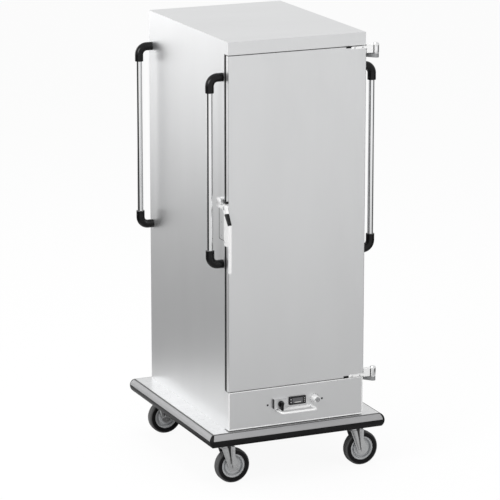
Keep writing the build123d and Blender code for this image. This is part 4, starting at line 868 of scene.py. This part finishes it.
window_dark = finish(
    "window_dark", WINDOW_DARK, roughness=0.12, grain=even(60), spread=0.02, bump=0.0, tone=0.1,
)
key_plastic = finish(
    "key_plastic", KEY_GREY, roughness=0.50, grain=even(500), spread=0.05, bump=0.05,
)
lamp_plastic = finish(
    "lamp_plastic", LAMP_PALE, roughness=0.30, grain=even(500), spread=0.05, bump=0.03,
)
dress(control_plastic, "controller", "switch_base")
dress(window_dark, "controller_window")
dress(key_plastic, "key_up", "key_down")
dress(elbow_plastic, "switch_knob")
dress(bright_steel, "regulator_knob", "pull_handle")
switch_turn = joint_place("switch_turn")
switch_low, switch_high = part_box("switch_base")
switch_wide = switch_high.x - switch_low.x - SWITCH_MARGIN
switch_tall = switch_high.z - switch_low.z - SWITCH_MARGIN
switch_face = bmesh.new()
bmesh.ops.create_circle(
    switch_face, cap_ends=False, segments=SWITCH_HOLE_SEGMENTS, radius=SWITCH_HOLE,
)
square = bmesh.ops.create_circle(
    switch_face, cap_ends=False, segments=SQUARE_SIDES, radius=SQUARE_RADIUS,
)["verts"]
upright = Matrix.Rotation(math.pi / SQUARE_SIDES, 3, "Z")
bmesh.ops.rotate(switch_face, cent=(0, 0, 0), matrix=upright, verts=square)
bmesh.ops.scale(switch_face, vec=(switch_wide, switch_tall, 1), verts=square)
outline = switch_face.edges[:]
bmesh.ops.triangle_fill(switch_face, use_beauty=True, edges=outline, normal=UP)
raise_faces(switch_face, switch_face.faces[:], (0, 0, SWITCH_SHEET))
switch_place = facing((switch_turn.x, switch_low.y, switch_turn.z), FRONT)
bmesh.ops.transform(switch_face, matrix=switch_place, verts=switch_face.verts)
flange_depth = face_y - switch_low.y + SWITCH_SHEET
flange_level = switch_high.z + SWITCH_SHEET / 2
flange_place = (switch_turn.x, face_y - flange_depth / 2, flange_level)
add_block(switch_face, flange_place, (switch_wide, flange_depth, SWITCH_SHEET))
bmesh.ops.recalc_face_normals(switch_face, faces=switch_face.faces)
add_piece("switch_face", switch_face, panel_steel, "heating_module")


def add_mark(form, centre, radius, angle):
    """Add a small raised mark on the front, at an angle round a knob from straight up."""
    above = (0, -MARK_HEIGHT / 2, radius + MARK_LENGTH / 2)
    mark = add_block(form, above, (MARK_WIDTH, MARK_HEIGHT, MARK_LENGTH))
    turned = Matrix.Rotation(math.radians(angle), 3, "Y")
    bmesh.ops.rotate(form, cent=(0, 0, 0), matrix=turned, verts=mark)
    bmesh.ops.translate(form, vec=centre, verts=mark)


marks = bmesh.new()
switch_centre = (switch_turn.x, switch_low.y - SWITCH_SHEET, switch_turn.z)
for angle in SWITCH_MARKS:
    add_mark(marks, switch_centre, SWITCH_HOLE + SWITCH_MARK_GAP, angle)
regulator = joint_place("regulator_turn")
for step in range(REGULATOR_MARKS):
    angle = REGULATOR_SWEEP * (step / (REGULATOR_MARKS - 1) - 0.5)
    add_mark(marks, (regulator.x, face_y, regulator.z), REGULATOR_RING, angle)
add_piece("control_marks", marks, dark_screw, "heating_module")
knob_low, knob_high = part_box("regulator_knob")
knob_front = (regulator.x, knob_low.y, regulator.z)
knob_shade_radius = (knob_high.x - knob_low.x) / 2 * KNOB_SHADE_SHARE
# Painted shade: a grey disc on the bright knob's face, darker than its flank.
knob_face_shade = bmesh.new()
add_screw(knob_face_shade, knob_front, FRONT, knob_shade_radius, KNOB_SHADE_HEIGHT)
add_piece("regulator_face_shade", knob_face_shade, die_cast, "regulator_knob")
controller_low, controller_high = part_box("controller")
window_low, window_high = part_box("controller_window")
lamp_x = (window_high.x + controller_high.x) / 2
lamp_z = (controller_low.z + controller_high.z) / 2
lamp_top = LAMP_RADIUS * LAMP_TAPER
lamps = bmesh.new()
for level in LAMP_LEVELS:
    place = (lamp_x, controller_low.y, lamp_z + level)
    add_disc(lamps, place, FRONT, LAMP_RADIUS, LAMP_HEIGHT, LAMP_SEGMENTS, lamp_top)
strip_x = (window_low.x + window_high.x) / 2
add_block(lamps, (strip_x, window_low.y, window_low.z + WINDOW_STRIP_RISE), WINDOW_STRIP)
add_piece("controller_lamps", lamps, lamp_plastic, "heating_module")
pull_low, pull_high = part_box("pull_handle")
pull_x, pull_z = (pull_low.x + pull_high.x) / 2, (pull_low.z + pull_high.z) / 2
collar_top = COLLAR_RADIUS * COLLAR_TAPER
collars = bmesh.new()
for across in (pull_low.x + PULL_ROD_RADIUS, pull_high.x - PULL_ROD_RADIUS):
    foot = (across, face_y, pull_z)
    add_disc(collars, foot, FRONT, COLLAR_RADIUS, COLLAR_HEIGHT, COLLAR_SEGMENTS, collar_top)
add_piece("pull_collars", collars, polished, "heating_module")
# The base plate's bright finish is a painted reflection of the handle's bar on the panel.
pull_plate_and_reflection = bmesh.new()
pull_size = (pull_high.x - pull_low.x, PULL_PLATE_SHEET, PULL_PLATE_HEIGHT)
add_plate(pull_plate_and_reflection, (pull_x, face_y - PULL_PLATE_SHEET / 2, pull_z), pull_size)
add_piece("pull_plate_and_reflection", pull_plate_and_reflection, bright_steel, "heating_module")

# Fan and heating element: an aluminium impeller on a dark motor, and a heater
# tube of blued steel on its two brackets.
BLUED = (0.16, 0.15, 0.15)
blued_steel = finish(
    "blued_steel", BLUED, metallic=0.9, roughness=0.45, grain=even(150), spread=0.06,
    bump=0.05, tone=0.2, patch=even(15),
)
dress(frame_channel, "fan_impeller")
dress(blued_steel, "fan_motor", "heating_element")

# Studio: a white floor that keeps a soft shadow, and four large soft lights.
# Shiny metal sees the floor in shades that follow the distance and the bearing.
# The camera stands where the photograph was taken from.
FLOOR_SIZE = 60
FLOOR_WHITE = (0.92, 0.92, 0.92)
FLOOR_GLOW = 0.93
FLOOR_REACH = 8
FLOOR_NEAR = 1.5
FLOOR_FAR = 2.2
FLOOR_BLEND = 0.5
FULL_TURN = 360
FRONT_FLOOR = (
    (0.05, 0.06), (0.085, 0.51), (0.15, 0.52), (0.275, 0.56),
    (0.575, 0.74), (0.7, 0.835), (0.83, 0.955), (0.9, 1.0),
)
BACK_FLOOR = (
    (0.05, 0.06), (0.085, 1.0), (0.165, 1.0), (0.19, 0.32), (0.36, 0.33),
    (0.48, 0.36), (0.60, 0.45), (0.72, 0.66), (0.85, 1.0),
)
FLOOR_TURN = (
    (-180, 0.05), (-150, 0.05), (-144, 1.0), (-53, 1.0), (-47, 0.08), (-9, 0.08), (-4, 0.8),
    (4, 0.8), (9, 0.08), (33, 0.08), (40, 1.0), (135, 1.0), (140, 0.05), (180, 0.05),
)
WORLD_LIGHT = 0.55
WORLD_SHINE = 0.83
AIM_SHARE = 0.55
CAMERA_PLACE = (-4.997, -11.296, 4.022)
CAMERA_TURN = -23.74
CAMERA_TILT = 14.2
CAMERA_LENS = 213.8
CAMERA_SENSOR = 36
CAMERA_REACH = 200


def mix(tree, factor, first, second):
    """Mix two values, each a socket or a plain number."""
    node = tree.nodes.new("ShaderNodeMix")
    for inlet, term in (("Factor", factor), ("A", first), ("B", second)):
        feed(tree, node.inputs[inlet], term)
    return node.outputs["Result"]


def add_ramp(tree, value, stops):
    """A ramp of greys from places along it and their shades."""
    ramp = tree.nodes.new("ShaderNodeValToRGB")
    greys = ramp.color_ramp.elements
    greys.remove(greys[1])
    for index, (place, shade) in enumerate(stops):
        grey = greys[0] if index == 0 else greys.new(place)
        grey.position = place
        grey.color = (shade, shade, shade, 1)
    tree.links.new(value, ramp.inputs["Fac"])
    return ramp.outputs["Color"]


def make_floor():
    """A plain floor, white to the eye, that takes shadows and shows its shades in metal."""
    form = bmesh.new()
    bmesh.ops.create_grid(form, x_segments=1, y_segments=1, size=FLOOR_SIZE / 2)
    mesh = bpy.data.meshes.new("floor")
    form.to_mesh(mesh)
    form.free()
    floor = bpy.data.objects.new("floor", mesh)
    bpy.context.scene.collection.objects.link(floor)
    material = bpy.data.materials.new("floor_white")
    material.use_nodes = True
    tree = material.node_tree
    nodes, links = tree.nodes, tree.links
    nodes.clear()
    rays = nodes.new("ShaderNodeLightPath").outputs
    place = nodes.new("ShaderNodeTexCoord").outputs["Object"]
    axes = nodes.new("ShaderNodeSeparateXYZ")
    links.new(place, axes.inputs[0])
    bearing = nodes.new("ShaderNodeTexGradient")
    bearing.gradient_type = "RADIAL"
    links.new(place, bearing.inputs["Vector"])
    distance = length(tree, place)
    reach = calc(tree, "DIVIDE", distance, FLOOR_REACH)
    front = add_ramp(tree, reach, FRONT_FLOOR)
    back = add_ramp(tree, reach, BACK_FLOOR)
    behind = map_range(tree, axes.outputs["Y"], -FLOOR_BLEND, FLOOR_BLEND)
    turns = [(angle / FULL_TURN + 0.5, shade) for angle, shade in FLOOR_TURN]
    turn = add_ramp(tree, bearing.outputs["Fac"], turns)
    far = map_range(tree, distance, FLOOR_NEAR, FLOOR_FAR)
    shine = calc(tree, "MULTIPLY", mix(tree, behind, front, back), mix(tree, far, 1, turn))
    glow = nodes.new("ShaderNodeEmission")
    links.new(mix(tree, rays["Is Glossy Ray"], 1, shine), glow.inputs["Strength"])
    seen = calc(tree, "MAXIMUM", rays["Is Camera Ray"], rays["Is Transmission Ray"])
    part = calc(tree, "MULTIPLY", seen, FLOOR_GLOW)
    paint = nodes.new("ShaderNodeBsdfDiffuse")
    paint.inputs["Color"].default_value = (*FLOOR_WHITE, 1)
    blend = nodes.new("ShaderNodeMixShader")
    links.new(calc(tree, "MAXIMUM", part, rays["Is Glossy Ray"]), blend.inputs[0])
    links.new(paint.outputs[0], blend.inputs[1])
    links.new(glow.outputs[0], blend.inputs[2])
    outlet = nodes.new("ShaderNodeOutputMaterial")
    links.new(blend.outputs[0], outlet.inputs["Surface"])
    mesh.materials.append(material)


def make_world():
    """An even sky that lights softly, white to the eye and pale to shiny metal."""
    world = bpy.data.worlds.new("studio")
    world.use_nodes = True
    tree = world.node_tree
    sky = tree.nodes["Background"]
    sky.inputs["Color"].default_value = (1, 1, 1, 1)
    rays = tree.nodes.new("ShaderNodeLightPath").outputs
    seen = calc(tree, "MAXIMUM", rays["Is Camera Ray"], rays["Is Transmission Ray"])
    shown = mix(tree, seen, WORLD_LIGHT, 1)
    strength = mix(tree, rays["Is Glossy Ray"], shown, WORLD_SHINE)
    tree.links.new(strength, sky.inputs["Strength"])
    bpy.context.scene.world = world


def add_softbox(name, place, size, power, mirrored):
    """A square area light that looks at the trolley, and that shiny metal may mirror."""
    lamp = bpy.data.lights.new(name, "AREA")
    lamp.size = size
    lamp.energy = power
    light = bpy.data.objects.new(name, lamp)
    light.visible_glossy = mirrored
    light.location = place
    aim = Vector((0, 0, cad_high.z * AIM_SHARE)) - Vector(place)
    light.rotation_euler = aim.to_track_quat("-Z", "Y").to_euler()
    bpy.context.scene.collection.objects.link(light)


make_floor()
add_softbox("key", (-4.4, -2.2, 3.8), size=2.5, power=140, mirrored=True)
add_softbox("fill", (3.2, -4.6, 2.8), size=3.0, power=50, mirrored=False)
add_softbox("top", (0.0, 0.6, 5.2), size=3.0, power=110, mirrored=False)
add_softbox("rim", (-2.5, 5.6, 2.4), size=3.0, power=34, mirrored=True)
make_world()
scene = bpy.context.scene
scene.view_settings.view_transform = "Standard"
camera_data = bpy.data.cameras.new("camera")
camera_data.sensor_width = CAMERA_SENSOR
camera_data.lens = CAMERA_LENS
camera_data.clip_end = CAMERA_REACH
camera = bpy.data.objects.new("camera", camera_data)
camera.location = CAMERA_PLACE
camera.rotation_euler = (math.radians(90 - CAMERA_TILT), 0, math.radians(CAMERA_TURN))
scene.collection.objects.link(camera)
scene.camera = camera
